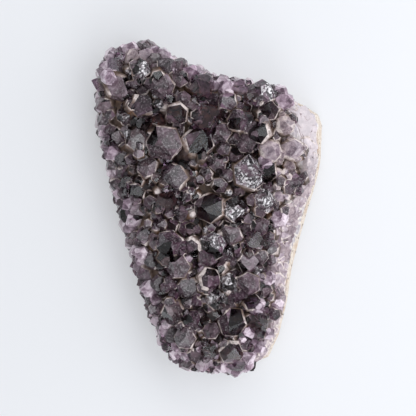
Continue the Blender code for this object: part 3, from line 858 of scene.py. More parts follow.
# %% Which finish each crystal gets
CHOICE_SEED = 53
LILAC_BY_WALL = 0.7  # the share of the points above the lower broken wall that are lilac
LILAC_SHARE = 0.14  # and of the points further in
MOSTLY_BLUNT = 8  # out of ten
BLUNT_GAIN = 0.15  # how much further out blunt edge points stand, in widths
EDGE_GAIN = 0.06  # and the others
INNER_FINISHES = {"black": 11, "black cup": 7, "smoky": 44, "smoky cup": 20, "etched": 8, "coated": 1}
MILKY_FINISHES = {"smoky cup": 6, "milky": 8, "etched": 1, "smoky": 4}
SMALL_FINISHES = {"black": 9, "smoky": 46, "etched": 9, "bare": 10, "smoky cup": 12, "coated": 2}
EDGE_FINISHES = {"bare": 3, "bare milky": 6, "smoky": 2, "smoky cup": 1}
LEFT_FINISHES = {"bare": 2, "bare milky": 4, "smoky": 4, "smoky cup": 2}
LILAC_FINISHES = {"black": 3, "black cup": 4, "bare": 3, "bare milky": 1}
MAUVE_FINISHES = {"black cup": 1, "bare": 2, "bare milky": 6}
UPPER_COLUMNS = {"milky": 2, "bare milky": 3}
LOWER_COLUMNS = {"milky": 7, "bare milky": 4}
CHOSEN = {
    # by the main point's x and y
    (-43.0, 54.0): "smoky cup", (-30.0, 44.5): "black cup", (-30.5, 61.5): "etched",
    (-19.0, 29.0): "smoky", (-5.5, 27.0): "black cup", (24.0, 51.5): "etched",
    (13.5, 38.0): "smoky cup", (34.0, 36.5): "milky", (37.5, 25.5): "milky",
    (27.0, 25.5): "milky", (26.0, 16.5): "smoky cup", (17.5, 14.5): "etched",
    (2.0, -0.5): "black", (11.5, -1.0): "etched", (-17.5, -17.0): "smoky cup",
    (2.0, -18.5): "etched", (-1.0, -33.0): "black cup", (34.0, 47.5): "bare milky",
    (24.0, 34.0): "black cup", (9.5, 46.0): "smoky cup", (9.0, 54.5): "bare milky",
    (-46.0, 65.0): "bare", (-34.5, 69.5): "bare milky", (-28.0, 70.0): "bare milky",
    (-24.0, 66.0): "smoky", (-18.0, 63.5): "smoky", (-6.0, 62.0): "bare milky",
}
CHOSEN_LILAC = ((-1.0, -33.0), (34.0, 47.5))
choice = random.Random(CHOICE_SEED)


def pick(finishes):
    return choice.choices(list(finishes), list(finishes.values()))[0]


inner, edge = [], []
for crystal in main_ones + fill_ones + twin_ones + small_ones:
    place = crystal.foot.xy
    if from_edge(place) < edge_reach(place) and place.x < MILKY_FROM:
        crystal.finish = pick(LEFT_FINISHES if at_the_left(place) else EDGE_FINISHES)
        edge.append(crystal)
    elif place.x > MILKY_FROM and place.y > LOWER_FROM:
        crystal.finish = pick(MILKY_FINISHES)
        inner.append(crystal)
    elif choice.random() < (LILAC_BY_WALL if by_the_wall(place) else LILAC_SHARE):
        crystal.finish = pick(MAUVE_FINISHES if by_the_wall(place) else LILAC_FINISHES)
        edge.append(crystal)
    else:
        crystal.finish = pick(SMALL_FINISHES if crystal.width < SMALL_WIDTHS[1] else INNER_FINISHES)
        inner.append(crystal)
for crystal in side_ones + small_sides + rim_ones:
    crystal.finish = pick(LEFT_FINISHES if at_the_left(crystal.foot.xy) else EDGE_FINISHES)
    edge.append(crystal)
for crystal, row in zip(main_ones, MAIN_POINTS):
    if row[:2] in CHOSEN:
        crystal.finish = CHOSEN[row[:2]]
    if row[:2] in CHOSEN_LILAC and crystal in inner:
        inner.remove(crystal)
        edge.append(crystal)
for crystal in edge:
    gain = BLUNT_GAIN if FINISHES[crystal.finish][4] >= MOSTLY_BLUNT else EDGE_GAIN
    crystal.foot = crystal.foot + crystal.turn @ Vector((0, 0, gain * crystal.width))
columns = broken_ones + column_ones
for crystal in columns:
    crystal.finish = pick(LOWER_COLUMNS if crystal.foot.y < LOWER_FROM else UPPER_COLUMNS)
print("inner", len(inner), "edge", len(edge), "columns", len(columns))

# %% [markdown]
# Each material gets its colour and its roughness from noise that is laid out in the object's
# own coordinates, in metres. Pictures of stone could be wrapped round the pieces instead, but
# they would stretch over the steep facets. A few short helpers keep the node trees readable, and
# the first of them serve the geometry trees too.

# %% Helpers for all node trees
class Wiring:
    """A node tree under construction: its nodes are added, set and wired with short calls."""

    def put(self, socket, value):
        """Gives an input a value, or a wire from a socket or from a node's first output."""
        if isinstance(value, bpy.types.Node):
            value = value.outputs[0]
        if isinstance(value, bpy.types.NodeSocket):
            self.tree.links.new(value, socket)
        elif socket.type == "RGBA":
            socket.default_value = (*value, 1.0)
        else:
            socket.default_value = value

    def add(self, kind, inputs=None, **settings):
        """Adds a node. Its inputs go by name or by number."""
        node = self.tree.nodes.new(kind)
        for name, value in settings.items():
            setattr(node, name, value)
        for key, value in (inputs or {}).items():
            self.put(node.inputs[key], value)
        return node

    def maths(self, operation, a, b):
        return self.add("ShaderNodeMath", {0: a, 1: b}, operation=operation).outputs["Value"]

    def spread(self, source, low, high, to_low=0.0, to_high=1.0):
        """A number stretched from one range to another, and held at its ends."""
        ends = {"From Min": low, "From Max": high, "To Min": to_low, "To Max": to_high}
        return self.add("ShaderNodeMapRange", {"Value": source, **ends}).outputs["Result"]


print("helpers:", [name for name in vars(Wiring) if not name.startswith("_")])

# %% [markdown]
# A material wires its colour, its roughness, its relief and what its inside swallows.

# %% Helpers for materials
class Finish(Wiring):
    """A material under construction."""

    def __init__(self, name):
        self.material = bpy.data.materials.new(name)
        self.material.use_nodes = True
        self.tree = self.material.node_tree
        self.shader = self.tree.nodes["Principled BSDF"]
        self.where = self.add("ShaderNodeTexCoord").outputs["Object"]

    def set(self, **values):
        """Gives the shader's inputs a value or a wire. An underscore stands for a space."""
        for name, value in values.items():
            self.put(self.shader.inputs[name.replace("_", " ")], value)

    def noise(self, grain, detail=4.0, rough=0.55, warp=0.0, where=None):
        """Noise with lumps about grain wide, in metres."""
        sizes = {"Scale": 1.0 / grain, "Detail": detail, "Roughness": rough, "Distortion": warp}
        return self.add("ShaderNodeTexNoise", {"Vector": where or self.where, **sizes}).outputs["Fac"]

    def cells(self, grain, feature="F1"):
        """Voronoi cells about grain wide, in metres."""
        inputs = {"Vector": self.where, "Scale": 1.0 / grain}
        return self.add("ShaderNodeTexVoronoi", inputs, feature=feature)

    def own(self, name):
        """A number that the mesh carries."""
        return self.add("ShaderNodeAttribute", attribute_name=name).outputs["Fac"]

    def ramp(self, source, stops):
        """Colours along a number from 0 to 1."""
        node = self.add("ShaderNodeValToRGB", {"Fac": source})
        band = node.color_ramp
        while len(band.elements) < len(stops):
            band.elements.new(0.5)
        for element, (place, colour) in zip(band.elements, stops):
            element.position = place
            element.color = (*colour, 1.0)
        return node.outputs["Color"]

    def mix(self, share, a, b, blend="MIX"):
        """Two colours mixed by a share."""
        node = self.add("ShaderNodeMix", {"Factor": share}, data_type="RGBA", blend_type=blend)
        colours = [s for s in node.inputs if s.type == "RGBA"]
        for socket, value in zip(colours, (a, b)):
            self.put(socket, value)
        return [s for s in node.outputs if s.type == "RGBA"][0]

    def relief(self, source, height, strength):
        """Bump of that height in metres, on top of the bump already there."""
        node = self.add("ShaderNodeBump", {"Distance": height, "Strength": strength, "Height": source})
        before = self.shader.inputs["Normal"]
        if before.is_linked:
            self.put(node.inputs["Normal"], before.links[0].from_socket)
        self.put(before, node)

    def absorb(self, colour, density):
        """What light loses inside."""
        lost = self.add("ShaderNodeVolumeAbsorption", {"Color": colour, "Density": density})
        self.put(self.tree.nodes["Material Output"].inputs["Volume"], lost)


print("more for materials:", [name for name in vars(Finish) if not name.startswith("_")])

# %% [markdown]
# Amethyst is quartz: it bends light by 1.544, and iron in it takes the green out. The inside is
# see-through and the depth makes the colour, so a deep point is almost black and a thin one
# lilac. A painted gradient could stand for the depth, but it wouldn't change with the view. Fine
# growth lines and etched patches are bump and roughness on the faces.

# %% Clear amethyst
QUARTZ_IOR = 1.544
PATCH_WIDTH = 4.5 * MM  # how wide the etched patches are
GRIT_WIDTH = 0.8 * MM  # and the tiny crystals on them
GRIT_HEIGHT = 0.3 * MM
FROST = 0.35  # how much rougher etching makes a face
HAZE_COLOUR = (0.86, 0.84, 0.86)


def etching(finish):
    """Where a face is etched: its own share of it, in patches."""
    patches = finish.spread(finish.noise(PATCH_WIDTH, 3.0), 0.42, 0.56)
    return finish.maths("MULTIPLY", finish.own("etched"), patches)


def polish(finish, smoothest, roughest, bite, ripple):
    """Growth lines and hillocks on a glassy face, and a frosted bite where it is etched."""
    smear = finish.spread(finish.noise(3.0 * MM, 4.0), 0.35, 0.75, smoothest, roughest)
    finish.set(Roughness=finish.maths("ADD", smear, finish.maths("MULTIPLY", bite, FROST)))
    finish.relief(finish.noise(1.8 * MM, 4.0, 0.55, 0.6), ripple, 0.5)
    hollows = finish.maths("MULTIPLY", finish.cells(GRIT_WIDTH).outputs["Distance"], bite)
    finish.relief(finish.maths("MULTIPLY", hollows, -1.0), GRIT_HEIGHT, 0.7)


def amethyst(name, tints, lost, density):
    finish = Finish(name)
    # The tint changes from facet to facet by its shade: painted reflection, standing in for what each
    # facet reflects.
    tint = finish.ramp(finish.own("shade"), tints)
    haze = finish.spread(finish.noise(2.6 * MM, 5.0, 0.6, 0.6), 0.48, 0.75, 0.0, 0.4)
    finish.set(Base_Color=finish.mix(haze, tint, HAZE_COLOUR), IOR=QUARTZ_IOR, Transmission_Weight=1.0)
    polish(finish, 0.02, 0.12, etching(finish), 0.10 * MM)
    finish.absorb(lost, density)
    return finish.material


deep_amethyst = amethyst(
    "deep_amethyst",
    (
        (0.0, (0.82, 0.80, 0.84)),
        (0.3, (0.62, 0.56, 0.62)),
        (0.55, (0.76, 0.62, 0.82)),
        (0.8, (0.52, 0.48, 0.58)),
        (1.0, (0.88, 0.82, 0.88)),
    ),
    lost=(0.40, 0.20, 0.38),
    density=170.0,
)
lilac_amethyst = amethyst(
    "lilac_amethyst",
    (
        (0.0, (0.92, 0.84, 0.90)),
        (0.5, (0.86, 0.74, 0.84)),
        (1.0, (0.94, 0.90, 0.92)),
    ),
    lost=(0.58, 0.30, 0.52),
    density=80.0,
)
print("two sorts of glass")

# %% [markdown]
# Most quartz here isn't clear right down: veils and cracks stop the light just under the
# polished face, and what shows is their tone. Smoky mauve inside the cluster, lilac round its
# edges, and grey-lavender with streaks where the slab snapped and the columns show in section.
# Each veil could be a thin sheet in the glass, but there would be thousands, and a mottled tone
# under a polished face looks much the same at this size.

# %% Veiled quartz
STREAK_TURN = (0.9, 0.35, 0.5)  # the streaks' direction, in radians
STREAK_SCALE = (1.0, 1.0, 0.1)  # they are ten times as long as wide
STREAK_COLOUR = (0.46, 0.41, 0.43)
PALER_COLOUR = (0.76, 0.70, 0.72)
# Greys of the tiny cells on etched patches, up to near white: partly frosted grit, partly painted glints.
GRIT_AND_GLINT_STOPS = ((0.35, (0.035, 0.030, 0.034)), (0.55, (0.16, 0.145, 0.155)), (0.72, (0.80, 0.77, 0.79)))


def streaks(finish, grain, thinnest, thickest):
    """A share that is high on long thin streaks."""
    sizes = {"Rotation": STREAK_TURN, "Scale": STREAK_SCALE}
    turned = finish.add("ShaderNodeMapping", {"Vector": finish.where, **sizes})
    return finish.spread(finish.noise(grain, 3.0, 0.5, 0.3, turned), thinnest, thickest)


def veiled(name, grain, stops, tints, streaked, paler_along=None):
    """The last argument says along which axis the quartz pales, from where to where, and how much."""
    finish = Finish(name)
    veils = finish.noise(grain, 4.0, 0.52, 0.5)
    # Each facet is lighter or darker at random by its shade: painted reflection, standing in for what
    # each facet reflects inside the crystal.
    facet = finish.spread(finish.own("shade"), 0.0, 1.0, -0.18, 0.18)
    near_rim = finish.spread(finish.own("rise"), -0.05, 0.3, 0.10, -0.05)
    tone = finish.maths("ADD", finish.maths("ADD", veils, facet), near_rim)
    tint = finish.ramp(finish.own("lot"), tints)
    colour = finish.mix(1.0, finish.ramp(tone, stops), tint, "MULTIPLY")
    share = finish.maths("MULTIPLY", streaks(finish, 0.8 * MM, 0.56, 0.68), streaked)
    colour = finish.mix(share, colour, STREAK_COLOUR)
    # Paler along one axis. On the edge points it is paler towards the bottom, by the glowing paper:
    # painted light from below. On the broken wall it is paler along the wall, its own colour.
    if paler_along:
        axis, start, end, most = paler_along
        axes = finish.add("ShaderNodeSeparateXYZ", {"Vector": finish.where})
        paler = finish.spread(axes.outputs[axis], start, end, 0.0, most)
        colour = finish.mix(paler, colour, PALER_COLOUR)
    bite = etching(finish)
    # On etched patches each tiny cell has its own grey, some near white: partly the frosted grit, partly
    # painted glints of its tiny facets.
    grit_and_glints = finish.ramp(finish.cells(GRIT_WIDTH).outputs["Color"], GRIT_AND_GLINT_STOPS)
    finish.set(Base_Color=finish.mix(bite, colour, grit_and_glints), IOR=QUARTZ_IOR)
    polish(finish, 0.03, 0.2, bite, 0.18 * MM)
    return finish.material


smoky_quartz = veiled(
    "smoky_quartz",
    3.2 * MM,
    (
        (0.24, (0.020, 0.014, 0.016)),
        (0.40, (0.043, 0.030, 0.034)),
        (0.54, (0.083, 0.059, 0.066)),
        (0.68, (0.142, 0.105, 0.117)),
        (0.84, (0.255, 0.205, 0.222)),
    ),
    (
        (0.0, (0.72, 0.64, 0.82)),
        (0.2, (1.0, 0.89, 0.84)),
        (0.4, (0.82, 0.72, 0.82)),
        (0.6, (1.0, 0.81, 0.98)),
        (0.8, (0.97, 0.69, 0.95)),
        (1.0, (1.0, 0.93, 1.0)),
    ),
    streaked=0.35,
)
milky_lilac = veiled(
    "milky_lilac",
    2.6 * MM,
    (
        (0.26, (0.105, 0.068, 0.092)),
        (0.42, (0.25, 0.183, 0.226)),
        (0.56, (0.46, 0.375, 0.425)),
        (0.72, (0.76, 0.69, 0.725)),
    ),
    (
        (0.0, (0.82, 0.74, 0.82)),
        (0.35, (1.0, 0.94, 0.98)),
        (0.6, (0.80, 0.66, 0.78)),
        (1.0, (1.0, 1.0, 1.0)),
    ),
    streaked=0.35,
    # Paler towards the bottom, near the glowing paper: painted light from below.
    paler_along=("Z", 19.0 * MM, 6.0 * MM, 0.6),
)
SECTION_STOPS = (
    (0.26, (0.175, 0.137, 0.165)),
    (0.42, (0.31, 0.258, 0.29)),
    (0.56, (0.46, 0.40, 0.425)),
    (0.72, (0.68, 0.62, 0.62)),
)
SECTION_TINTS = (
    (0.0, (0.78, 0.70, 0.78)),
    (0.5, (1.0, 0.93, 0.87)),
    (1.0, (0.90, 0.83, 0.90)),
)
milky_point = veiled("milky_point", 2.2 * MM, SECTION_STOPS, SECTION_TINTS, streaked=0.6)
milky_section = veiled(
    "milky_section",
    2.6 * MM,
    SECTION_STOPS,
    SECTION_TINTS,
    streaked=0.6,
    paler_along=("Y", 6.0 * MM, 34.0 * MM, 0.6),
)
print("four sorts of veiled quartz")

# %% [markdown]
# The coat on the prism sides is milky quartz with clay in its pores: cream at the shoulder, tan
# below it, and dark brown down in the gaps. The darkening down into the gaps is partly iron stain
# and partly painted shade, the shade that falls between the points. The mesh carries its height in
# widths above the shoulder, and a ramp turns that into colour. The height above the floor would be
# simpler, but the shoulders stand at many heights.

# %% The pale coat
coat = Finish("pale_coat")
height = coat.own("rise")
wander = coat.spread(coat.noise(2.2 * MM), 0.3, 0.7, -0.12, 0.10)
down = coat.spread(coat.maths("ADD", height, wander), -0.42, 0.08)
# The ramp darkens down towards the gaps: partly iron stain, partly painted shade.
stone = coat.ramp(
    down,
    (
        (0.0, (0.060, 0.038, 0.029)),
        (0.40, (0.130, 0.084, 0.062)),
        (0.64, (0.26, 0.190, 0.165)),
        (0.80, (0.43, 0.350, 0.328)),
        (0.95, (0.68, 0.59, 0.565)),
    ),
)
grey = coat.spread(coat.noise(1.7 * MM, 4.0), 0.50, 0.64, 0.0, 0.7)
greyed = coat.mix(grey, stone, (0.135, 0.11, 0.105))
rust = coat.spread(coat.noise(5.0 * MM, 3.0), 0.56, 0.7, 0.0, 0.5)
rusty = coat.maths("MULTIPLY", rust, coat.spread(height, -0.5, 0.15, 1.0, 0.3))
coat.set(
    Base_Color=coat.mix(rusty, greyed, (0.25, 0.11, 0.045)),
    Roughness=coat.spread(coat.noise(1.0 * MM), 0.3, 0.7, 0.3, 0.6),
)
coat.relief(coat.noise(0.8 * MM, 5.0), 0.14 * MM, 0.8)
pale_coat = coat.material
print("coat ready")

# %% [markdown]
# Every geometry tree takes a mesh and some named sizes. It ends by making its instances real
# and by giving each face its material.

# %% Helpers for geometry trees
class Tree(Wiring):
    """A geometry tree under construction, with a mesh input, named sizes and one output."""

    def __init__(self, name, sizes):
        self.tree = bpy.data.node_groups.new(name, "GeometryNodeTree")
        sockets = self.tree.interface
        sockets.new_socket("Geometry", in_out="INPUT", socket_type="NodeSocketGeometry")
        for label, value in sizes.items():
            kind_of = "NodeSocketInt" if isinstance(value, int) else "NodeSocketFloat"
            sockets.new_socket(label, in_out="INPUT", socket_type=kind_of).default_value = value
        sockets.new_socket("Geometry", in_out="OUTPUT", socket_type="NodeSocketGeometry")
        self.start = self.add("NodeGroupInput")
        self.end = self.add("NodeGroupOutput")

    def own(self, name, kind_of="FLOAT"):
        """What the mesh carries under a name."""
        node = self.add("GeometryNodeInputNamedAttribute", {"Name": name}, data_type=kind_of)
        return node.outputs["Attribute"]

    def ended(self, source, materials):
        """The whole tree. Each material goes on the faces of its stuff, or on all for None."""
        source = self.add("GeometryNodeRealizeInstances", {"Geometry": source})
        for stuff, material in materials.items():
            inputs = {"Geometry": source, "Material": material}
            if stuff is not None:
                pair = {2: self.own("stuff", "INT"), 3: stuff}
                same = self.add("FunctionNodeCompare", pair, data_type="INT", operation="EQUAL")
                inputs["Selection"] = same
            source = self.add("GeometryNodeSetMaterial", inputs)
        self.put(self.end.inputs["Geometry"], source)
        return self.tree


print("more for geometry trees:", [name for name in vars(Tree) if not name.startswith("_")])

# %% [markdown]
# One kind of tree grows all three pieces. It puts a kind on each point of a mesh, turned and
# sized by what the point carries, and joins them into one skin, because crystals that grew
# together have no walls between them and light must pass from one into the next. Roots that
# reach down into the rind are cut off at its seam. Each face then gets the material that it was
# told.

# %% The trees that grow crystals
GROWTH_SIZES = {"Size": 1.0, "Seam": 4.8 * MM}
BLOCK_WIDTH = 0.4  # in metres, of the block whose top cuts the roots off


def growth_tree(name, clear_material, milk_material):
    tree = Tree(name, GROWTH_SIZES)
    given = tree.start.outputs
    chosen = {"Collection": kinds, "Separate Children": True, "Reset Children": True}
    stood = tree.add(
        "GeometryNodeInstanceOnPoints",
        {
            "Points": given["Geometry"],
            "Instance": tree.add("GeometryNodeCollectionInfo", chosen),
            "Pick Instance": True,
            "Instance Index": tree.own("kind", "INT"),
            "Rotation": tree.add("FunctionNodeEulerToRotation", {0: tree.own("turn", "FLOAT_VECTOR")}),
            "Scale": tree.maths("MULTIPLY", tree.own("width"), given["Size"]),
        },
    )
    joined = tree.add("GeometryNodeMeshBoolean", {"Mesh 2": stood}, operation="UNION", solver="EXACT")
    drop = {"Z": tree.maths("SUBTRACT", given["Seam"], BLOCK_WIDTH / 2)}
    block = {
        "Geometry": tree.add("GeometryNodeMeshCube", {"Size": (BLOCK_WIDTH,) * 3}),
        "Translation": tree.add("ShaderNodeCombineXYZ", drop),
    }
    pair = {"Mesh 1": joined, "Mesh 2": tree.add("GeometryNodeTransform", block)}
    trimmed = tree.add("GeometryNodeMeshBoolean", pair, operation="DIFFERENCE", solver="EXACT")
    materials = {None: pale_coat, CLEAR: clear_material, SMOKE: smoky_quartz, MILK: milk_material}
    return tree.ended(trimmed, materials)


deep_growth = growth_tree("deep growth", deep_amethyst, milky_point)
lilac_growth = growth_tree("lilac growth", lilac_amethyst, milky_lilac)
column_growth = growth_tree("column growth", deep_amethyst, milky_section)
print("each growth tree has", len(deep_growth.nodes), "nodes")

# %% [markdown]
# Now the trees run. Each crystal is one loose point that carries its turn, width and kind. What
# a tree makes is kept as a plain mesh, so the pieces don't need the trees any more.

# %% Growing the crystals
def point_mesh(crystals):
    """A mesh with one loose vertex for each crystal, which carries its turn, width and kind."""
    mesh = bpy.data.meshes.new("stands")
    mesh.from_pydata([c.foot for c in crystals], [], [])
    numbers = [c.shape * len(FINISHES) + FINISH_NAMES.index(c.finish) for c in crystals]
    carry(mesh, "turn", "FLOAT_VECTOR", "POINT", [c.turn.to_euler() for c in crystals])
    carry(mesh, "width", "FLOAT", "POINT", [c.width for c in crystals])
    carry(mesh, "kind", "INT", "POINT", numbers)
    return mesh


def grown(name, tree, base_mesh, sizes):
    """Runs the tree on the mesh and keeps the result as a plain mesh."""
    base = bpy.data.objects.new(name + "_base", base_mesh)
    bpy.context.scene.collection.objects.link(base)
    modifier = base.modifiers.new(tree.name, "NODES")
    modifier.node_group = tree
    for item in tree.interface.items_tree:
        if item.item_type == "SOCKET" and item.in_out == "INPUT" and item.name in sizes:
            modifier[item.identifier] = sizes[item.name]
    graph = bpy.context.evaluated_depsgraph_get()
    mesh = bpy.data.meshes.new_from_object(base.evaluated_get(graph))
    base.modifiers.remove(modifier)
    bpy.data.objects.remove(base)
    mesh.name = name
    piece = bpy.data.objects.new(name, mesh)
    bpy.context.scene.collection.objects.link(piece)
    return piece


def told(piece):
    mesh = piece.data
    mesh.calc_loop_triangles()
    low = [min(v.co[i] for v in mesh.vertices) / MM for i in range(3)]
    high = [max(v.co[i] for v in mesh.vertices) / MM for i in range(3)]
    print(piece.name, len(mesh.loop_triangles), "triangles, mm", [round(v, 1) for v in low + high])


crystal_points = grown("crystal_points", deep_growth, point_mesh(inner), GROWTH_SIZES)
told(crystal_points)
edge_points = grown("edge_points", lilac_growth, point_mesh(edge), GROWTH_SIZES)
told(edge_points)
broken_columns = grown("broken_columns", column_growth, point_mesh(columns), GROWTH_SIZES)
told(broken_columns)

# %% [markdown]
# Under the points lies the massive quartz, opaque with milk and iron: dark in the gaps of the
# bed, pale lavender on the broken wall. It has the solid's rings, with its bed sunk a little so
# that the gaps between the points are deep.

# %% The mesh of the massive quartz
BED_SUNK = 2.0 * MM
FOOT_HIDDEN = (0.8 * MM, 4.0 * MM)  # the foot is hidden in the rind: how far in, and how high

foot = [Vector((*moved_in(skirt(p), FOOT_HIDDEN[0]), FOOT_HIDDEN[1])) for p in outline]
crust = mesh_from_rings([foot] + walls[1:] + bed_rings(BED_SUNK))
crust_sheet = bpy.data.meshes.new("crust")
crust.to_mesh(crust_sheet)
wall_count = len(outline) * len(walls)
on_wall = [float(i < wall_count) for i in range(len(crust_sheet.vertices))]
carry(crust_sheet, "wall", "FLOAT", "POINT", on_wall)
print(wall_count, "of", len(on_wall), "points are on the wall")

# %% [markdown]
# Its finish has three parts that fade into each other: dark rusty stone on the bed, sections of
# prisms with pale seams on the lower broken wall, and streaked milk on the upper one.

# %% The finish of the massive quartz
PRISM_SECTION = 6.5 * MM  # how wide the sections are
MILK_SCALE = (1.0, 0.22, 1.0)  # the streaks run along the wall

body = Finish("massive_quartz")
seams = body.cells(PRISM_SECTION, "DISTANCE_TO_EDGE").outputs["Distance"]
lines = body.spread(seams, 0.02, 0.08, 1.0, 0.0)
blotch = body.ramp(
    body.noise(3.0 * MM, 5.0, 0.6, 1.0),
    ((0.32, (0.26, 0.215, 0.255)), (0.5, (0.43, 0.38, 0.415)), (0.68, (0.61, 0.57, 0.585))),
)
sections = body.mix(lines, blotch, (0.76, 0.70, 0.64))
along = body.add("ShaderNodeMapping", {"Vector": body.where, "Scale": MILK_SCALE})
milk = body.ramp(
    body.noise(1.6 * MM, 5.0, 0.55, 0.5, along),
    ((0.34, (0.42, 0.365, 0.42)), (0.5, (0.66, 0.605, 0.635)), (0.62, (0.86, 0.81, 0.79))),
)
axes = body.add("ShaderNodeSeparateXYZ", {"Vector": body.where})
up_the_wall = body.spread(axes.outputs["Y"], -6.0 * MM, 30.0 * MM)
pale = body.mix(up_the_wall, sections, milk)
dark = body.ramp(
    body.noise(4.0 * MM),
    ((0.35, (0.075, 0.047, 0.036)), (0.55, (0.17, 0.105, 0.072)), (0.7, (0.36, 0.22, 0.13))),
)
blur = body.spread(body.noise(4.0 * MM), 0.3, 0.7, -0.3, 0.3)
share = body.spread(body.maths("ADD", body.own("wall"), blur), 0.45, 0.85)
body.set(
    Base_Color=body.mix(share, dark, pale),
    Roughness=body.spread(body.noise(1.5 * MM), 0.3, 0.7, 0.3, 0.6),
)
body.relief(body.noise(1.2 * MM, 5.0), 0.35 * MM, 0.8)
print("massive quartz has", len(body.tree.nodes), "nodes")

# %% [markdown]
# The solid's walls are smooth, and the real ones are broken stone. A tree splits the mesh finely
# and pushes it in and out with two sizes of noise. Bump alone would leave the outline smooth.

# %% Roughening
SPLITS = 3
BODY_SIZES = {
    "Coarse Grain": 6.0 * MM,
    "Coarse Height": 1.2 * MM,
    "Fine Grain": 1.6 * MM,
    "Fine Height": 0.5 * MM,
}


def rough_tree(name, material, sizes):
    tree = Tree(name, sizes)
    given = tree.start.outputs
    split = tree.add("GeometryNodeSubdivideMesh", {"Mesh": given["Geometry"], "Level": SPLITS})
    pushes = []
    for part in ("Coarse", "Fine"):
        scale = tree.maths("DIVIDE", 1.0, given[part + " Grain"])
        lumps = tree.add("ShaderNodeTexNoise", {"Scale": scale, "Detail": 3.0})
        around = tree.maths("SUBTRACT", lumps, 0.5)
        pushes.append(tree.maths("MULTIPLY", around, given[part + " Height"]))
    push = {0: tree.add("GeometryNodeInputNormal"), "Scale": tree.maths("ADD", *pushes)}
    offset = tree.add("ShaderNodeVectorMath", push, operation="SCALE")
    moved = tree.add("GeometryNodeSetPosition", {"Geometry": split, "Offset": offset})
    return tree.ended(moved, {None: material})


body_tree = rough_tree("massive quartz", body.material, BODY_SIZES)
quartz_body = grown("quartz_body", body_tree, crust_sheet, BODY_SIZES)
told(quartz_body)

# %% [markdown]
# The rind is a thin stony skin. It has the solid's flat underside and rounded edge. On the
# broken side it climbs a few millimetres up the wall, where it shows from above as a narrow
# beige band. It could be a colour on the quartz, but it is another stone with an edge of its own.

# %% The mesh of the rind
RIND_EDGE = ((5.5 * MM, 0.0), (2.8 * MM, 0.4 * MM), (1.3 * MM, 1.7 * MM), (0.2 * MM, 3.2 * MM))
RIND_WAVE = 0.5 * MM
RIND_PROUD = 0.5 * MM  # how far the rind stands out from the wall at its foot
RIND_THINS = 0.7  # the share of that which is gone at its top
RIND_CLIMB = 4.5 * MM
CLIMB_FROM = 4.0  # it climbs walls that lean in by more than this, in mm,
CLIMB_OVER = 3.0  # and fully those that lean in by this much more
CLIMB_WAVE = 0.6 * MM  # how far its upper edge waves up and down
CLIMB_PITCH = 400  # and how often in a metre
RIND_LIP = (3.0 * MM, 1.0 * MM)  # how far in and down its upper edge turns into the wall
FLAT_BELOW = 0.25 * MM


def wall_at(i, height):
    """The wall's place at an outline point, at a height."""
    for lower, upper in zip(walls, walls[1:]):
        if height <= upper[i].z:
            return lower[i].lerp(upper[i], (height - lower[i].z) / (upper[i].z - lower[i].z))
    return walls[-1][i].copy()


rind_rings = []
for inset, height in RIND_EDGE:
    ring = []
    for p in outline:
        q = moved_in(skirt(p), inset)
        rough = RIND_WAVE * (height > 0)
        ring.append(Vector((q.x, q.y, height + wave(q.x, q.y, rough, EDGE_WAVELENGTH))))
    rind_rings.append(ring)
for share in (0.0, 0.5, 1.0):
    ring = []
    for i, p in enumerate(outline):
        climb = RIND_CLIMB * min(1.0, max(0.0, (p.z / MM - CLIMB_FROM) / CLIMB_OVER))
        up = RIND_THICKNESS + share * climb + CLIMB_WAVE * share * noise.noise(p.xyz * CLIMB_PITCH)
        at = wall_at(i, up)
        out = moved_in(at.xy, -RIND_PROUD * (1.0 - RIND_THINS * share))
        ring.append(Vector((out.x, out.y, up)))
    rind_rings.append(ring)
lip_in, lip_down = RIND_LIP
rind_rings.append([Vector((*moved_in(v.xy, lip_in), v.z - lip_down)) for v in rind_rings[-1]])
rind_sheet = bpy.data.meshes.new("rind_sheet")
mesh_from_rings(rind_rings).to_mesh(rind_sheet)
print(len(rind_rings), "rings of rind")

# %% [markdown]
# The rind's stone is cream and granular, with rusty stains and small pits. The pits are dents in
# the relief, and their dark colour is painted shade. It is roughened by the same sort of tree as
# the quartz, with smaller lumps, and its underside is kept flat.

# %% The stone of the rind
RIND_SIZES = {
    "Coarse Grain": 4.0 * MM,
    "Coarse Height": 0.5 * MM,
    "Fine Grain": 1.0 * MM,
    "Fine Height": 0.35 * MM,
}

stone = Finish("rind_stone")
grains = stone.noise(0.9 * MM, 4.0, 0.6)
cream = stone.ramp(
    grains, ((0.3, (0.46, 0.375, 0.30)), (0.5, (0.66, 0.58, 0.50)), (0.7, (0.82, 0.76, 0.69)))
)
stains = stone.spread(stone.noise(7.0 * MM, 3.0), 0.5, 0.7, 0.0, 0.6)
stained = stone.mix(stains, cream, (0.50, 0.34, 0.22))
apart = stone.spread(stone.noise(3.5 * MM, 4.0), 0.35, 0.65, -0.08, 0.3)
# The pits are painted dark: painted shade inside them.
holes = stone.maths("ADD", stone.cells(2.1 * MM).outputs["Distance"], apart)
holes = stone.spread(holes, 0.18, 0.3, 1.0, 0.0)
stone.set(Base_Color=stone.mix(holes, stained, (0.12, 0.085, 0.075)), Roughness=0.9)
stone.relief(stone.noise(0.9 * MM, 5.0), 0.4 * MM, 0.9)
stone.relief(stone.maths("MULTIPLY", holes, -1.0), 0.5 * MM, 0.8)
rind_tree = rough_tree("rind", stone.material, RIND_SIZES)
rind_skin = grown("rind_skin", rind_tree, rind_sheet, RIND_SIZES)
for vert in rind_skin.data.vertices:
    if vert.co.z < FLAT_BELOW:
        vert.co.z = 0.0
told(rind_skin)

# %% [markdown]
# Many end faces are sprinkled with tiny crystals, a druse on the druse, which glitter as white
# specks. A tree scatters four-sided specks on the etched faces. They could be bright dots in
# the finish, but those wouldn't flash when the piece is turned.

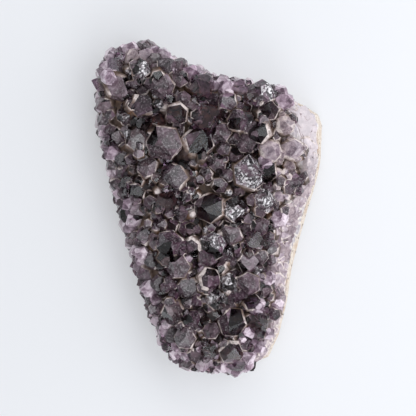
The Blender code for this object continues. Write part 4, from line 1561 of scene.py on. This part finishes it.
# %% The glitter
SPECK_SIZES = {"Density": 1.4 / MM**2, "Smallest": 0.2 * MM, "Largest": 0.55 * MM, "Seed": 4}
SPECK_CORNERS = [(0.5, 0, -0.1), (-0.3, 0.42, -0.1), (-0.3, -0.42, -0.1), (0, 0, 0.55)]
SHINE_STOPS = ((0.35, (0.24, 0.21, 0.23)), (0.65, (0.66, 0.63, 0.65)))

speck_shape = bpy.data.meshes.new("speck")
speck_shape.from_pydata(SPECK_CORNERS, [], [(0, 1, 3), (1, 2, 3), (2, 0, 3), (0, 2, 1)])
speck = bpy.data.objects.new("speck", speck_shape)

shine = Finish("glitter")
shine.set(Base_Color=shine.ramp(shine.noise(2.0 * MM), SHINE_STOPS))
shine.set(Roughness=0.12, IOR=QUARTZ_IOR, Coat_Weight=0.6)


def scatter_tree():
    tree = Tree("glitter", SPECK_SIZES)
    given = tree.start.outputs
    patches = tree.add("ShaderNodeTexNoise", {"Scale": 1.0 / PATCH_WIDTH, "Detail": 3.0})
    wanted = tree.maths("MULTIPLY", tree.own("etched"), tree.spread(patches, 0.45, 0.55))
    density = tree.maths("MULTIPLY", wanted, given["Density"])
    throw = {"Mesh": given["Geometry"], "Density": density, "Seed": given["Seed"]}
    thrown = tree.add("GeometryNodeDistributePointsOnFaces", throw)
    size = tree.add(
        "FunctionNodeRandomValue", {2: given["Smallest"], 3: given["Largest"]}, data_type="FLOAT"
    )
    stood = tree.add(
        "GeometryNodeInstanceOnPoints",
        {
            "Points": thrown,
            "Instance": tree.add("GeometryNodeObjectInfo", {"Object": speck}).outputs["Geometry"],
            "Rotation": thrown.outputs["Rotation"],
            "Scale": size.outputs[1],
        },
    )
    return tree.ended(stood, {None: shine.material})


glitter = grown("glitter", scatter_tree(), crystal_points.data.copy(), SPECK_SIZES)
told(glitter)

# %% [markdown]
# Last, each piece is put on what carries it, and the solids that they stand in for are hidden.
# Nothing moves, so all of them ride on the one body.

# %% Hiding the solids and carrying the pieces
for piece in (crystal_points, edge_points, broken_columns, glitter, quartz_body):
    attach(piece, "root")
    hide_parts("crystals")
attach(rind_skin, "root")
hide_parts("rind")
